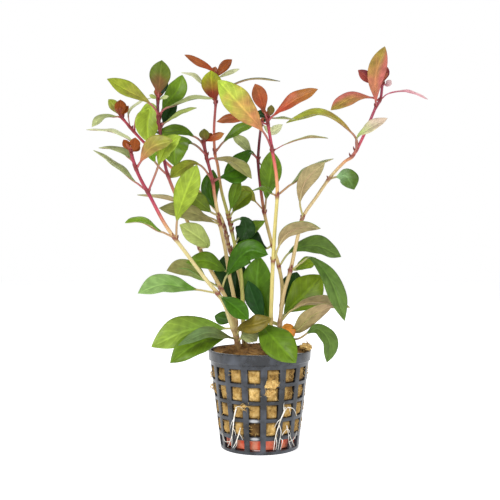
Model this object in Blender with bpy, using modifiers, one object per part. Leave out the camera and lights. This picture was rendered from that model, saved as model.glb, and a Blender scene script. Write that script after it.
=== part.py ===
"""Potted rubin ludwigia: eight cut stems with their leaves in a small net pot.

The origin is the centre of the pot's base, with +Z up and -Y towards the front.
Sizes and places are in millimetres and are turned to metres as each mesh is made.
"""

import math

import bmesh
import bpy
from mathutils import Vector

MM = 0.001
GAP = 0.3

# The net pot: 16 columns of windows in 5 rows under a thick collar
RIM_RADIUS = 26
RIM_HEIGHT = 48.6
COLLAR_HEIGHT = 5.2
WALL_TOP_RADIUS = 24.9
BASE_RADIUS = 19.6
WALL_THICKNESS = 1.3
COLUMNS = 16
WINDOW_SHARE = 2 / 3
FIRST_WINDOW_ANGLE = -7.3
WINDOW_ROWS = [(1.6, 7), (9, 15.9), (17.6, 24.5), (26.1, 33), (34.7, 41.6)]
HUB_RADIUS = 7
SLOT_RADIUS = 16.4

# What fills the pot
PLUG_BOTTOM = 8.2
PLUG_TOP = 50
PLUG_PROFILE = [(0, PLUG_TOP), (14, 49.6), (21, 48.6), (23.6, 47.2), (19, PLUG_BOTTOM), (0, PLUG_BOTTOM)]
CLAY_RING_HEIGHT = 5.6
CLAY_RING_OUTER = 17.2
CLAY_RING_INNER = 9

# Stems taper from the pot to their growing tips
STEM_BASE_RADIUS = 1.15
STEM_TIP_RADIUS = 0.75
STEM_TOP = 200
STEM_STEP = 12

# Leaves, as solids thick enough to handle
LEAF_THICKNESS = 0.7
PETIOLE_HALF_WIDTH = 0.6
LEAF_FOLD = math.radians(12)
WIDEST_POINT = 0.5
BASE_TAPER = 1.9
TIP_SHARPNESS = 1.5
BLADE_ROWS = 4
SMALL_BLADE_ROWS = 3
TINY_BLADE_ROWS = 2
TINY_LENGTH = 10
LONG_PETIOLE = 8
LONGEST_RUN_BESIDE_STEM = 14

# Roots that come out of the windows and hang down the wall, as (angle, height)
ROOT_RADIUS = 0.35
ROOTS = {
    "root_left": [(-31, 23), (-32, 21), (-35, 17), (-37.5, 12.5), (-40, 9), (-45, 5.5), (-51, 2.5)],
    "root_middle": [(-27, 13), (-28.5, 10.5), (-32, 7.5), (-36.5, 4.5), (-41, 2.5)],
    "root_right": [(33, 23), (30.5, 21), (27, 18), (24.5, 15), (20.5, 9.5), (18.5, 2.5)],
}

# The leaves at the foot are named for their place, so each one's stem is given here
OWN_STEM = {
    "leaf_base_front": "stem_f",
    "leaf_base_left_upper": "stem_a",
    "leaf_base_left_lower": "stem_a",
    "leaf_base_brown": "stem_a",
    "leaf_base_right": "stem_h",
    "leaf_centre_big": "stem_g",
}

# Each stem's centre line, from inside the plug to the growing tip
STEMS = {
    "stem_a": [
        (-9, -6, 37), (-11.5, -7, 53.5), (-14.5, -9, 63), (-18.5, -11, 74), (-27, -13.5, 85),
        (-36.5, -16, 98), (-45.5, -18.5, 110.5), (-52.5, -21.5, 124), (-56.5, -23, 131.5),
        (-59, -24.5, 137.5), (-61, -26, 144.5)],
    "stem_b": [
        (-8, -1, 37), (-12, -1.5, 58.5), (-16, -2.5, 72), (-19.5, -2.5, 79.5), (-27.5, -3.5, 94),
        (-32.5, -4, 105), (-40, -5, 121.5), (-46, -6, 136.5), (-48.5, -6.5, 149.5),
        (-50.5, -7.5, 166.5), (-50.5, -8, 174)],
    "stem_c": [
        (-7, 11, 37), (-8.5, 10.5, 57.5), (-8.5, 11, 71.5), (-9.5, 11, 81), (-11.5, 11.5, 89),
        (-15.5, 12, 99), (-19, 12.5, 113.5), (-23.5, 12.5, 121), (-32.5, 13, 130.5), (-48, 13, 144),
        (-60, 13.5, 155), (-67, 14, 162.5), (-73, 14, 169.5)],
    "stem_d": [
        (-12, 6, 37), (-12, 5, 58), (-13, 4.5, 73.5), (-15.5, 4, 86), (-17.5, 3.5, 99),
        (-20.5, 3.5, 113), (-23, 3, 127), (-24, 2.5, 134.5), (-27, 2.5, 146), (-28.5, 2, 155)],
    "stem_e": [
        (-6, 4, 37), (-8, 3.5, 58), (-9, 6.5, 78.5), (-10, 8, 89.5), (-12.5, 9.5, 100.5),
        (-16.5, 12, 117.5), (-20, 14, 130.5), (-22, 15.5, 144), (-23.5, 16.5, 150.5), (-24, 18.5, 164),
        (-23, 21, 182), (-23.5, 22, 191.5)],
    "stem_f": [
        (6, -5, 37), (5.5, -5, 59), (6, -6.5, 79), (6.5, -8, 93), (7.5, -9.5, 111),
        (8.5, -10.5, 125.5), (8, -11.5, 135.5), (6, -12.5, 147.5), (4, -13.5, 159.5), (3.5, -14, 163.5)],
    "stem_g": [
        (10, 8, 37), (10.5, 9, 57.5), (12, 12.5, 78), (10, 14.5, 91.5), (6.5, 16, 103), (2.5, 19, 120),
        (0, 21.5, 139.5), (-0.5, 23, 149), (0.5, 25, 161.5), (1.5, 26, 168)],
    "stem_h": [
        (10.5, -1, 37), (10, -1, 58.5), (12, -1.5, 76), (15.5, -1.5, 88.5), (19.5, -2, 107),
        (22, -2.5, 116), (28.5, -2.5, 125.5), (35.5, -3, 135.5), (42.5, -3, 143), (47, -3, 146.5),
        (52.5, -3.5, 157), (58, -3.5, 170), (60.5, -4, 174.5), (61.5, -4, 183)],
}

# Large leaves, each as (midrib points from the stem outwards, petiole, width, upper side faces)
LEAVES = {
    "leaf_a_low_left": (
        [(-21, -12, 77.5), (-34, -14, 80), (-47, -17, 82), (-58.5, -21, 78)],
        12, 12, (0, -1, 1)),
    "leaf_a_low_right": (
        [(-20.5, -11.5, 77), (-18.5, -13.5, 75.5), (-12, -15.5, 71), (-5.5, -17.5, 65)],
        2, 10, (0, -1, 0.4)),
    "leaf_a_mid_left": (
        [(-41.5, -17.5, 104.5), (-49.5, -18.5, 108.5), (-56.5, -21.5, 112), (-64, -24.5, 111.5)],
        8, 9, (0, -0.4, 1)),
    "leaf_a_mid_right": (
        [(-40.5, -17.5, 104), (-39.5, -20.5, 114.5), (-35, -23.5, 127), (-30, -23.5, 139)],
        10, 11, (0, -1, 0.1)),
    "leaf_a_high_left": (
        [(-54, -22, 126.5), (-60, -20, 131.5), (-70.5, -14, 140), (-82, -10, 148)],
        8, 7, (0, -0.1, 1)),
    "leaf_a_high_right": (
        [(-53.5, -22, 126), (-49.5, -23, 135.5), (-46, -25, 144.5), (-42, -28, 148.5), (-37, -30, 151.5)],
        18, 9, (0, -1, 0.5)),
    "leaf_a_top_right": (
        [(-58.5, -24.5, 137), (-55.5, -26.5, 141.5), (-50.5, -29.5, 146.5), (-40.5, -32.5, 149)],
        4, 9, (0, -1, 0.5)),
    "leaf_b_low_left": (
        [(-19.5, -2.5, 79.5), (-27.5, -1.5, 84), (-37, 1.5, 89.5), (-47.5, 3.5, 88.5)],
        8, 10, (0, 1, 0.7)),
    "leaf_b_low_right": (
        [(-19, -2.5, 79.5), (-16, -4.5, 87), (-6.5, -7.5, 98), (4, -10.5, 96.5)],
        8, 12, (0, -1, 0.5)),
    "leaf_b_upper_left": (
        [(-46, -6, 136), (-51, -4, 141), (-54, -3, 147), (-49, -2, 152.5), (-42.5, 0, 155)],
        12, 9, (0, -1, 0.4)),
    "leaf_b_high_right": (
        [(-50.5, -7.5, 165.5), (-45.5, -8.5, 169.5), (-33, -9.5, 173.5), (-23, -11.5, 173)],
        8, 7.5, (0, -0.5, 1)),
    "leaf_b_high_left": (
        [(-50.5, -7.5, 165), (-51.5, -8.5, 168), (-55.5, -10.5, 172), (-65.5, -13.5, 177),
         (-74, -16.5, 181.5)],
        9, 9, (0, -0.9, 0.6)),
    "leaf_b_high_back": (
        [(-50.5, -7.5, 163), (-47.5, -1.5, 172), (-42, 1.5, 180), (-39.5, 3.5, 188.5)],
        9, 9.5, (0, -1, 0.2)),
    "leaf_b_top": (
        [(-50.5, -8, 174), (-50, -10, 176.5), (-49, -12, 183), (-48, -13, 191.5)],
        2, 10, (0, -1, 0)),
    "leaf_c_hanging": (
        [(-66, 14, 161.5), (-63.5, 11, 169.5), (-57, 8, 172), (-57.5, 5, 163), (-57, 4, 154)],
        14, 12, (0, -1, 0)),
    "leaf_c_low_right": (
        [(-15, 12, 98), (-9.5, 13, 107.5), (-3.5, 14, 111), (3, 14, 114.5)],
        10, 9, (0, -0.7, 1)),
    "leaf_d_high_hanging": (
        [(-27, 2.5, 147), (-32, -1.5, 151.5), (-37.5, -6.5, 153), (-41.5, -12.5, 149),
         (-41.5, -14.5, 139.5)],
        13, 12, (0, -1, 0.4)),
    "leaf_d_high_right": (
        [(-26.5, 2.5, 144.5), (-23, 0.5, 145.5), (-12.5, -2.5, 142.5), (-4, -5.5, 134.5)],
        4, 8, (0, -0.7, 1)),
    "leaf_d_mid_left": (
        [(-24, 2.5, 134), (-28.5, 1.5, 140.5), (-33, 0.5, 143), (-39, -1.5, 140), (-45, -3.5, 135)],
        14, 8, (0, -0.9, 0.7)),
    "leaf_d_mid_right": (
        [(-24, 2.5, 133.5), (-19, 1.5, 136), (-12, 1.5, 136), (-5, 1.5, 137.5)],
        5, 9, (0, -0.9, 0.6)),
    "leaf_d_low_left": (
        [(-20.5, 3.5, 112), (-24, -1.5, 113.5), (-34.5, -11.5, 117.5), (-49, -16.5, 119)],
        4, 10, (0, -0.9, 0.6)),
    "leaf_e_top_front": (
        [(-23, 20, 177), (-24, 17, 179), (-25, 15, 185.5), (-25.5, 14, 193.5)],
        3, 10.5, (0, -1, 0.1)),
    "leaf_e_high_right": (
        [(-23.5, 16.5, 150.5), (-17.5, 14.5, 157.5), (-10, 13.5, 162.5), (-1, 11.5, 166.5)],
        9, 8, (0, -0.8, 0.8)),
    "leaf_f_tip_up": (
        [(3.5, -14, 162.5), (1.5, -16, 167.5), (-0.5, -18, 173.5), (-2.5, -19, 178.5)],
        4, 7, (0, -1, 0)),
    "leaf_f_tip_right": (
        [(4, -14, 161.5), (7, -16, 164.5), (16.5, -19, 170.5), (27.5, -21, 175.5)],
        4, 8.5, (0, -0.9, 0.7)),
    "leaf_f_big_left": (
        [(5.5, -12.5, 148.5), (3, -16.5, 153.5), (-1.5, -20.5, 159), (-10.5, -25.5, 168),
         (-20, -28.5, 178)],
        12, 12.5, (0, -1, 0.2)),
    "leaf_f_high_right": (
        [(6, -12.5, 147), (15, -10.5, 152), (25, -8.5, 154.5), (34, -6.5, 154.5)],
        9, 7, (0, 0.05, 1)),
    "leaf_f_mid_right": (
        [(8.5, -10.5, 125.5), (19, -4.5, 134.5), (28.5, 1.5, 141.5), (38, 5.5, 146)],
        12, 8, (0, -0.05, 1)),
    "leaf_f_low_right": (
        [(7, -8, 93), (9, -10, 100), (12.5, -13, 106.5), (20.5, -16, 110), (29, -19, 109)],
        9, 9, (0, 0.7, 1)),
    "leaf_g_mid_right": (
        [(3, 18.5, 119), (4, 16.5, 129), (6, 14.5, 140), (6.5, 13.5, 151.5)],
        8, 9.5, (0, -1, 0)),
    "leaf_g_low_right": (
        [(10.5, 14.5, 90.5), (17, 16.5, 98.5), (30.5, 19.5, 101.5), (44, 21.5, 95.5)],
        10, 12, (0, -1, 0.8)),
    "leaf_h_low_right": (
        [(15.5, -1.5, 88), (21, -3.5, 92.5), (26, -5.5, 94.5), (35, -10.5, 83.5), (41.5, -12.5, 64)],
        12, 10, (0.4, -1, 0.3)),
    "leaf_h_base_tan": (
        [(10.5, -1, 62.5), (16.5, -3, 69), (26.5, -3, 73), (45.5, -2, 70)],
        10, 8, (0, 0.8, 0.8)),
    "leaf_h_base_olive": (
        [(10.5, -1, 63), (14, 3, 68), (22.5, 6, 75.5), (32, 8, 86)],
        5, 16, (0, -1, 0.3)),
    "leaf_h_mid_up": (
        [(22, -2.5, 114.5), (20, -5.5, 123.5), (23, -8.5, 133.5), (32, -10.5, 142)],
        10, 8, (0, 1, 0.2)),
    "leaf_h_mid_right": (
        [(35, -3, 134.5), (39, -5, 135.5), (43, -8, 135), (46.5, -10, 128.5)],
        4, 9, (0, -1, 0.3)),
    "leaf_h_high_left": (
        [(47, -3, 146), (48.5, -5, 153.5), (40.5, -7, 162), (29, -7, 166.5), (13, -7, 162)],
        16, 9, (0, -0.6, 1)),
    "leaf_h_high_right": (
        [(48.5, -3, 149), (51.5, -6, 155.5), (55.5, -10, 159.5), (61.5, -14, 163)],
        9, 8, (0, -1, 0.6)),
    "leaf_h_top_left": (
        [(60, -4, 173.5), (55, -4, 175.5), (45.5, -6, 174.5), (35, -9, 168)],
        5, 8, (0, -0.9, 0.6)),
    "leaf_h_top_up": (
        [(58.5, -3.5, 171), (57.5, -7.5, 174), (57, -10.5, 185), (61.5, -10.5, 199)],
        3, 8.5, (0, -1, 0)),
    "leaf_base_front": (
        [(5.5, -5.5, 64), (1.5, -9.5, 62), (8, -21.5, 54.5), (16.5, -30.5, 46)],
        3, 15, (0, -1, 0.5)),
    "leaf_base_left_upper": (
        [(-13, -8, 59), (-16, -9, 60), (-34.5, -11, 59.5), (-53, -14, 51.5)],
        4, 15, (0, -1, 0.7)),
    "leaf_base_left_lower": (
        [(-11.5, -7, 54.5), (-19.5, -18, 57), (-31, -26, 54), (-42, -31, 46)],
        9, 12, (0, -1, 0.7)),
    "leaf_base_brown": (
        [(-11.5, -7.5, 56), (-9.5, -11.5, 60.5), (-3, -15.5, 62.5), (5.5, -16.5, 65.5)],
        3, 9, (0, -1, 0.6)),
    "leaf_base_right": (
        [(10.5, -1, 56), (18.5, -7, 54.5), (28, -10, 60), (34, -13, 53.5), (32.5, -15, 44)],
        20, 9, (0.6, -1, 0.3)),
    "leaf_centre_big": (
        [(10.5, 9.5, 60.5), (4.5, 12.5, 64), (-1, 16.5, 79.5), (0, 18.5, 96)],
        6, 15.5, (0, -1, 0)),
}

# Small leaves grown onto each stem, described in the same way
SMALL_LEAVES = {
    "stem_a": [
        ([(-59, -24.5, 138), (-62, -22.5, 142.5), (-68.5, -18.5, 147), (-78.5, -14.5, 148.5)],
         5, 8, (0, -0.3, 1)),
        ([(-60.5, -26, 144), (-60, -26, 149.5), (-70.5, -22, 155), (-83.5, -19, 156.5)],
         6, 6, (0, -0.3, 1)),
        ([(-11, -7, 53), (-8.5, -9, 56), (-5, -10, 56), (-1.5, -12, 54)], 3, 9, (0, -1, 1)),
        ([(-61, -26, 144.5), (-63, -26, 148), (-64.5, -26, 150.5)], 1, 3.5, (0, -1, 0)),
        ([(-61, -26, 144.5), (-59, -28, 147), (-58.5, -29, 151)], 1, 5, (0, -1, 0)),
        ([(-61, -26, 144.5), (-59, -25, 146), (-57, -24, 148)], 1, 3, (0, -1, 0)),
    ],
    "stem_b": [
        ([(-30.5, -4, 99.5), (-28, -7, 102), (-29.5, -12, 105.5), (-37, -17, 109.5)],
         3, 14, (0, -1, 0.3)),
        ([(-49.5, -7, 160.5), (-45.5, -10, 162.5), (-38, -11, 166.5), (-31, -12, 168.5)],
         4, 5, (0, -0.7, 1)),
        ([(-49.5, -7, 158.5), (-47.5, -2, 164.5), (-46, 0, 169.5), (-42.5, 1, 175.5)], 5, 7, (0, -1, 0)),
        ([(-50.5, -8, 174), (-52, -10, 174), (-54.5, -11, 175)], 1, 3, (0, -1, 0)),
        ([(-50.5, -8, 173), (-48, -9, 174), (-45, -10, 174.5)], 1, 3, (0, -1, 0)),
        ([(-50.5, -8, 172.5), (-49.5, -6, 178), (-48, -3, 186)], 1, 6, (0, -1, 0)),
    ],
    "stem_c": [
        ([(-72.5, 14, 168.5), (-75, 12, 169), (-81.5, 11, 168.5), (-87, 9, 163)], 3, 7, (0, -0.6, 1)),
        ([(-68, 14, 163.5), (-69, 16, 172), (-64, 18, 177.5), (-57, 19, 180.5)], 8, 5, (0, -0.3, 1)),
        ([(-8.5, 11, 70), (-10, 15, 74), (-13, 19, 83), (-11, 22, 94.5)], 3, 10, (0, -1, 0)),
        ([(-72.5, 14, 169), (-72.5, 12, 172.5), (-72.5, 11, 177.5)], 1, 6, (0, -1, 0)),
        ([(-72.5, 14, 169), (-76, 16, 174.5), (-80, 17, 179)], 1, 5, (0, -1, 0)),
        ([(-72.5, 14, 169), (-71, 13, 171.5), (-68.5, 12, 174.5)], 1, 3, (0, -1, 0)),
    ],
    "stem_d": [
        ([(-16, 4, 87.5), (-19, -1, 89.5), (-26.5, -8, 93.5), (-36.5, -9, 92.5)], 2, 9, (0, -1, 0.5)),
        ([(-27.5, 2, 148), (-30.5, 4, 155), (-39.5, 5, 160), (-45.5, 6, 160), (-53.5, 7, 159.5)],
         15, 9, (0, -0.9, 0.8)),
        ([(-20.5, 3.5, 113), (-28, 7.5, 117), (-45.5, 10.5, 125), (-64, 12.5, 128)], 6, 8, (0, 0.05, 1)),
        ([(-21, 3, 116.5), (-24.5, 1, 118), (-29, 0, 122), (-36, -2, 127.5)], 5, 8, (0, -1, 0.2)),
        ([(-21, 3, 114.5), (-22, 6, 119.5), (-25.5, 7, 128.5), (-24, 7, 140.5)], 7, 9, (0, -1, 0)),
        ([(-12.5, 5, 61.5), (-15, 8, 62.5), (-19, 10, 63.5), (-23.5, 12, 64.5)], 3, 7, (0, -1, 0.3)),
        ([(-13.5, 4.5, 72.5), (-15.5, 10.5, 74), (-17.5, 12.5, 84.5), (-17.5, 14.5, 97)],
         3, 8.5, (0, -1, 0)),
        ([(-28.5, 2, 154), (-28, -1, 156), (-28, -2, 160)], 1, 5, (0, -1, 0)),
        ([(-28.5, 2, 154), (-24, 1, 155.5), (-18, 0, 158)], 1, 4.5, (0, -1, 0.5)),
        ([(-28.5, 2, 154), (-26.5, 4, 156), (-24.5, 5, 159)], 1, 4, (0, -1, 0)),
    ],
    "stem_e": [
        ([(-15.5, 11.5, 112.5), (-12.5, 9.5, 114.5), (-9, 8.5, 115), (-7, 8.5, 111), (-9.5, 7.5, 104)],
         8, 10, (0, -1, 0)),
        ([(-23, 21.5, 187.5), (-25, 20.5, 195), (-32.5, 18.5, 199), (-39.5, 16.5, 202.5)],
         7, 5.5, (0, -0.8, 0.6)),
        ([(-23, 21, 185), (-29, 22, 187.5), (-35.5, 23, 193), (-42, 24, 195)], 6, 5, (0, -0.5, 1)),
        ([(-23, 20.5, 180.5), (-19.5, 22.5, 185.5), (-5, 24.5, 191.5), (11.5, 26.5, 191)],
         6, 7, (0, -0.2, 1)),
        ([(-16.5, 12, 117), (-14.5, 9, 122), (-12.5, 6, 129), (-10, 4, 135.5)], 4, 7, (-0.6, -1, 0)),
        ([(-16, 11.5, 115), (-13.5, 11.5, 119.5), (-9.5, 12.5, 124.5), (-4, 13.5, 129.5)],
         5, 8, (0, -1, 0.5)),
        ([(-23.5, 22, 191), (-19, 22, 197.5), (-14.5, 22, 201.5)], 1, 5, (0, -1, 0)),
        ([(-23.5, 22, 191), (-17, 24, 194.5), (-10.5, 26, 197.5)], 1, 3, (0, -1, 0)),
        ([(-23.5, 22, 191), (-24.5, 24, 194), (-23.5, 25, 198.5)], 1, 4, (0, -1, 0)),
    ],
    "stem_f": [
        ([(3.5, -13.5, 160), (-5, -11.5, 163), (-13.5, -9.5, 164), (-21.5, -7.5, 162.5)],
         8, 7, (0, -1, 0.8)),
        ([(8.5, -10.5, 125), (5, -7.5, 127.5), (1.5, -4.5, 129.5), (-4, -0.5, 129)], 4, 7, (0, -0.4, 1)),
        ([(3.5, -14, 163), (5, -15, 165.5), (5.5, -16, 169)], 1, 3.5, (0, -1, 0)),
        ([(3.5, -14, 163), (1, -12, 165), (-2, -10, 166.5)], 1, 4, (0, -1, 0)),
        ([(3.5, -14, 163), (8.5, -14, 163), (17.5, -13, 162.5)], 1, 4, (0, -0.4, 1)),
    ],
    "stem_g": [
        ([(-0.5, 23, 148), (-5, 24, 152.5), (-9, 25, 157.5), (-14.5, 26, 162.5)], 5, 7, (0, -0.7, 0.8)),
        ([(-0.5, 23, 147.5), (-4.5, 19, 151.5), (-10, 14, 146), (-18.5, 10, 136)],
         4, 8.5, (0, -0.9, 0.6)),
        ([(-0.5, 23, 147.5), (1.5, 21, 144.5), (6, 20, 143.5), (11.5, 19, 143.5)], 3, 4.5, (0, -0.6, 1)),
        ([(2.5, 19, 120), (-4, 17, 127), (-6.5, 16, 129.5), (-9.5, 15, 133)], 8, 6, (0, -1, 0.5)),
        ([(6.5, 16, 101.5), (3.5, 15, 100), (-3.5, 16, 102.5), (-12, 17, 108)], 3, 13.5, (0, -1, 0.5)),
        ([(10.5, 9.5, 59.5), (2, 9.5, 63.5), (-2.5, 11.5, 73), (-6, 12.5, 83)], 9, 9, (0, -1, 0)),
        ([(11.5, 11, 70), (13.5, 14, 71.5), (17, 16, 78.5), (20, 17, 87.5)], 3, 8.5, (0, -1, 0)),
        ([(1.5, 26, 167.5), (-0.5, 24, 168.5), (-2.5, 23, 169.5)], 1, 4, (0, -1, 0)),
        ([(1.5, 26, 167.5), (3, 25, 170), (4.5, 24, 173)], 1, 4, (0, -1, 0)),
        ([(1.5, 26, 167.5), (7, 22, 163), (12.5, 19, 166)], 1, 5, (0, -1, 0.3)),
    ],
    "stem_h": [
        ([(16, -1.5, 89), (18.5, 1.5, 89), (22.5, 3.5, 91), (29, 5.5, 95)], 4, 8, (0, -0.8, 1)),
        ([(10.5, -1, 60), (18, -8, 59), (25, -10, 66), (36, -11, 72)], 4, 9, (0, 0.9, 0.6)),
        ([(10, -1, 56.5), (13, -6, 59.5), (15.5, -9, 58), (17, -10, 56)], 1, 6, (0, -1, 0.5)),
        ([(60.5, -4, 174), (65.5, -3, 178), (75, -1, 179), (85.5, 1, 175.5)], 5, 7, (0, -0.1, 1)),
        ([(61.5, -4, 182), (57, -5, 182.5), (49, -6, 188.5)], 4, 5, (0, -1, 0)),
        ([(61.5, -4, 182), (62.5, -4, 185.5), (64, -4, 190.5)], 1, 3.5, (0, -1, 0)),
        ([(61.5, -4, 182), (63.5, -5, 181.5), (65.5, -6, 183.5)], 1, 3, (0, -1, 0)),
    ],
}

def new_collection(name):
    collection = bpy.data.collections.new(name)
    bpy.context.scene.collection.children.link(collection)
    return collection


def finish_material(name, colour, roughness, metallic=0.0):
    material = bpy.data.materials.new(name)
    material.use_nodes = True
    shader = material.node_tree.nodes["Principled BSDF"]
    shader.inputs["Base Color"].default_value = (*colour, 1)
    shader.inputs["Roughness"].default_value = roughness
    shader.inputs["Metallic"].default_value = metallic
    material.diffuse_color = (*colour, 1)
    return material


def place(obj, name, collection, material):
    """Name an object, give it its material and put it in its collection only."""
    obj.name = name
    obj.data.name = name
    for old in list(obj.users_collection):
        old.objects.unlink(obj)
    collection.objects.link(obj)
    obj.data.materials.clear()
    obj.data.materials.append(material)
    return obj


def hide_as_cutter(obj):
    obj.hide_render = True
    obj.display_type = "WIRE"


def smooth_path(points, steps=8):
    """Points along a Catmull-Rom curve through a list of points."""
    ends = [2 * points[0] - points[1], *points, 2 * points[-1] - points[-2]]
    path = []
    for before, start, end, after in zip(ends, ends[1:], ends[2:], ends[3:]):
        for step in range(steps):
            t = step / steps
            path.append(0.5 * (2 * start + (end - before) * t
                               + (2 * before - 5 * start + 4 * end - after) * t ** 2
                               + (3 * start - before - 3 * end + after) * t ** 3))
    path.append(points[-1])
    return path


def path_length(path):
    return sum((b - a).length for a, b in zip(path, path[1:]))


def point_at(path, distance):
    """The point a given distance along a path."""
    for a, b in zip(path, path[1:]):
        span = (b - a).length
        if distance <= span:
            return a.lerp(b, distance / span)
        distance -= span
    return path[-1].copy()


def trim_start(path, distance):
    """The rest of a path after a given distance."""
    start = point_at(path, distance)
    walked = 0
    for index, (a, b) in enumerate(zip(path, path[1:])):
        walked += (b - a).length
        if walked > distance:
            return [start, *path[index + 1:]]
    return path[-2:]


def distance_to(path, point):
    """The shortest distance from a point to a path."""
    nearest = math.inf
    for a, b in zip(path, path[1:]):
        share = (point - a).dot(b - a) / (b - a).length_squared
        on_path = a.lerp(b, min(1, max(0, share)))
        nearest = min(nearest, (point - on_path).length)
    return nearest


def clear_start(path, stem_line):
    """The distance along a leaf's midrib at which it leaves its stem's skin."""
    clearance = stem_radius(path[0].z) + GAP + PETIOLE_HALF_WIDTH + 0.2
    distance = 0
    for step in range(round(LONGEST_RUN_BESIDE_STEM / 0.5)):
        if distance_to(stem_line, point_at(path, step * 0.5)) < clearance:
            distance = (step + 1) * 0.5
    return distance


def stem_radius(height):
    share = min(1, max(0, (height - RIM_HEIGHT) / (STEM_TOP - RIM_HEIGHT)))
    return STEM_BASE_RADIUS + (STEM_TIP_RADIUS - STEM_BASE_RADIUS) * share


def tube(name, path, radii, resolution, collection, material):
    """A closed round tube along a path, as a mesh."""
    curve = bpy.data.curves.new(name, "CURVE")
    curve.dimensions = "3D"
    curve.bevel_depth = MM
    curve.bevel_resolution = resolution
    curve.use_fill_caps = True
    spline = curve.splines.new("POLY")
    spline.points.add(len(path) - 1)
    for point, place_mm, radius in zip(spline.points, path, radii):
        point.co = (*(place_mm * MM), 1)
        point.radius = radius
    guide = bpy.data.objects.new(name + "_line", curve)
    collection.objects.link(guide)
    evaluated = guide.evaluated_get(bpy.context.evaluated_depsgraph_get())
    mesh = bpy.data.meshes.new_from_object(evaluated)
    bpy.data.objects.remove(guide)
    bpy.data.curves.remove(curve)
    weld(mesh)
    obj = bpy.data.objects.new(name, mesh)
    collection.objects.link(obj)
    mesh.shade_smooth()
    return place(obj, name, collection, material)


def weld(mesh):
    """Join a mesh's doubled points and turn its faces outwards."""
    shape = bmesh.new()
    shape.from_mesh(mesh)
    bmesh.ops.remove_doubles(shape, verts=shape.verts, dist=0.01 * MM)
    bmesh.ops.recalc_face_normals(shape, faces=shape.faces)
    shape.to_mesh(mesh)
    shape.free()


def turned(name, profile, steps, collection, material):
    """A turned shape from a profile of (radius, height), outer side from top to bottom."""
    mesh = bpy.data.meshes.new(name)
    points = [(radius * MM, 0, height * MM) for radius, height in profile]
    mesh.from_pydata(points, [(i, i + 1) for i in range(len(points) - 1)], [])
    obj = bpy.data.objects.new(name, mesh)
    collection.objects.link(obj)
    screw = obj.modifiers.new("turn", "SCREW")
    screw.steps = steps
    screw.render_steps = steps
    screw.use_merge_vertices = True
    screw.merge_threshold = 0.0001
    apply_modifiers(obj)
    return place(obj, name, collection, material)


def apply_modifiers(obj):
    bpy.context.view_layer.objects.active = obj
    for modifier in list(obj.modifiers):
        bpy.ops.object.modifier_apply(modifier=modifier.name)


def wall_radius(height):
    """The outer radius of the pot's tapered wall."""
    wall_top = RIM_HEIGHT - COLLAR_HEIGHT
    return BASE_RADIUS + (WALL_TOP_RADIUS - BASE_RADIUS) * min(1, height / wall_top)


def pot_profile():
    """The pot's outer outline, from the rim down the wall and in to the middle of the base."""
    collar_bottom = RIM_HEIGHT - COLLAR_HEIGHT
    profile = [(RIM_RADIUS, RIM_HEIGHT), (RIM_RADIUS - 0.3, collar_bottom + 0.8)]
    profile.append((WALL_TOP_RADIUS, collar_bottom))
    for low, high in reversed(WINDOW_ROWS):
        profile.append((wall_radius(high), high))
        profile.append((wall_radius(low), low))
    profile += [(BASE_RADIUS, 0), (SLOT_RADIUS, 0), (HUB_RADIUS, 0), (0, 0)]
    return profile


def spread_columns(mesh):
    """Turn every second meridian so that bars and windows have their own widths."""
    pitch = math.tau / COLUMNS
    phase = math.radians(FIRST_WINDOW_ANGLE)
    for vertex in mesh.vertices:
        radius = math.hypot(vertex.co.x, vertex.co.y)
        if radius < 0.1 * MM:
            continue
        half_step = round(math.atan2(vertex.co.y, vertex.co.x) / (pitch / 2))
        column, second = divmod(half_step, 2)
        angle = (column + second * WINDOW_SHARE - WINDOW_SHARE / 2) * pitch + phase
        vertex.co.x = radius * math.sin(angle)
        vertex.co.y = -radius * math.cos(angle)


def column_place(face):
    """A face's place round the pot in columns, 0 at the middle of a window."""
    centre = face.calc_center_median()
    angle = math.atan2(centre.x, -centre.y) - math.radians(FIRST_WINDOW_ANGLE)
    return angle / (math.tau / COLUMNS)


def is_opening(face):
    """Whether a face of the pot's sheet lies in a window or a slot of the base."""
    if abs(column_place(face) - round(column_place(face))) > 0.2:
        return False
    centre = face.calc_center_median() / MM
    if centre.z < 0.1:
        slot = HUB_RADIUS < math.hypot(centre.x, centre.y) < SLOT_RADIUS
        return slot and round(column_place(face)) % 2 == 0
    return any(low < centre.z < high for low, high in WINDOW_ROWS)


def make_net_pot(collection):
    """One moulded sheet, turned, cut through at its windows and thickened inwards."""
    plastic = finish_material("black plastic", (0.07, 0.075, 0.09), 0.45)
    pot = turned("net_pot", pot_profile(), 2 * COLUMNS, collection, plastic)
    spread_columns(pot.data)
    sheet = bmesh.new()
    sheet.from_mesh(pot.data)
    bmesh.ops.remove_doubles(sheet, verts=sheet.verts, dist=0.01 * MM)
    bmesh.ops.recalc_face_normals(sheet, faces=sheet.faces)
    openings = [face for face in sheet.faces if is_opening(face)]
    bmesh.ops.delete(sheet, geom=openings, context="FACES")
    sheet.to_mesh(pot.data)
    sheet.free()
    wall = pot.modifiers.new("wall", "SOLIDIFY")
    wall.thickness = WALL_THICKNESS * MM
    wall.offset = -1
    wall.use_even_offset = True
    pot.data.shade_smooth()
    pot.data.set_sharp_from_angle(angle=math.radians(40))
    return pot


def make_clay_ring(collection):
    """A fired ring that stands on the base behind the lowest windows."""
    clay = finish_material("fired clay", (1.0, 0.14, 0.05), 0.6)
    low = WALL_THICKNESS + GAP
    high = low + CLAY_RING_HEIGHT
    profile = [(CLAY_RING_INNER, high), (CLAY_RING_OUTER, high), (CLAY_RING_OUTER, low),
               (CLAY_RING_INNER, low), (CLAY_RING_INNER, high)]
    ring = turned("clay_ring", profile, COLUMNS, collection, clay)
    weld(ring.data)
    return ring


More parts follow.
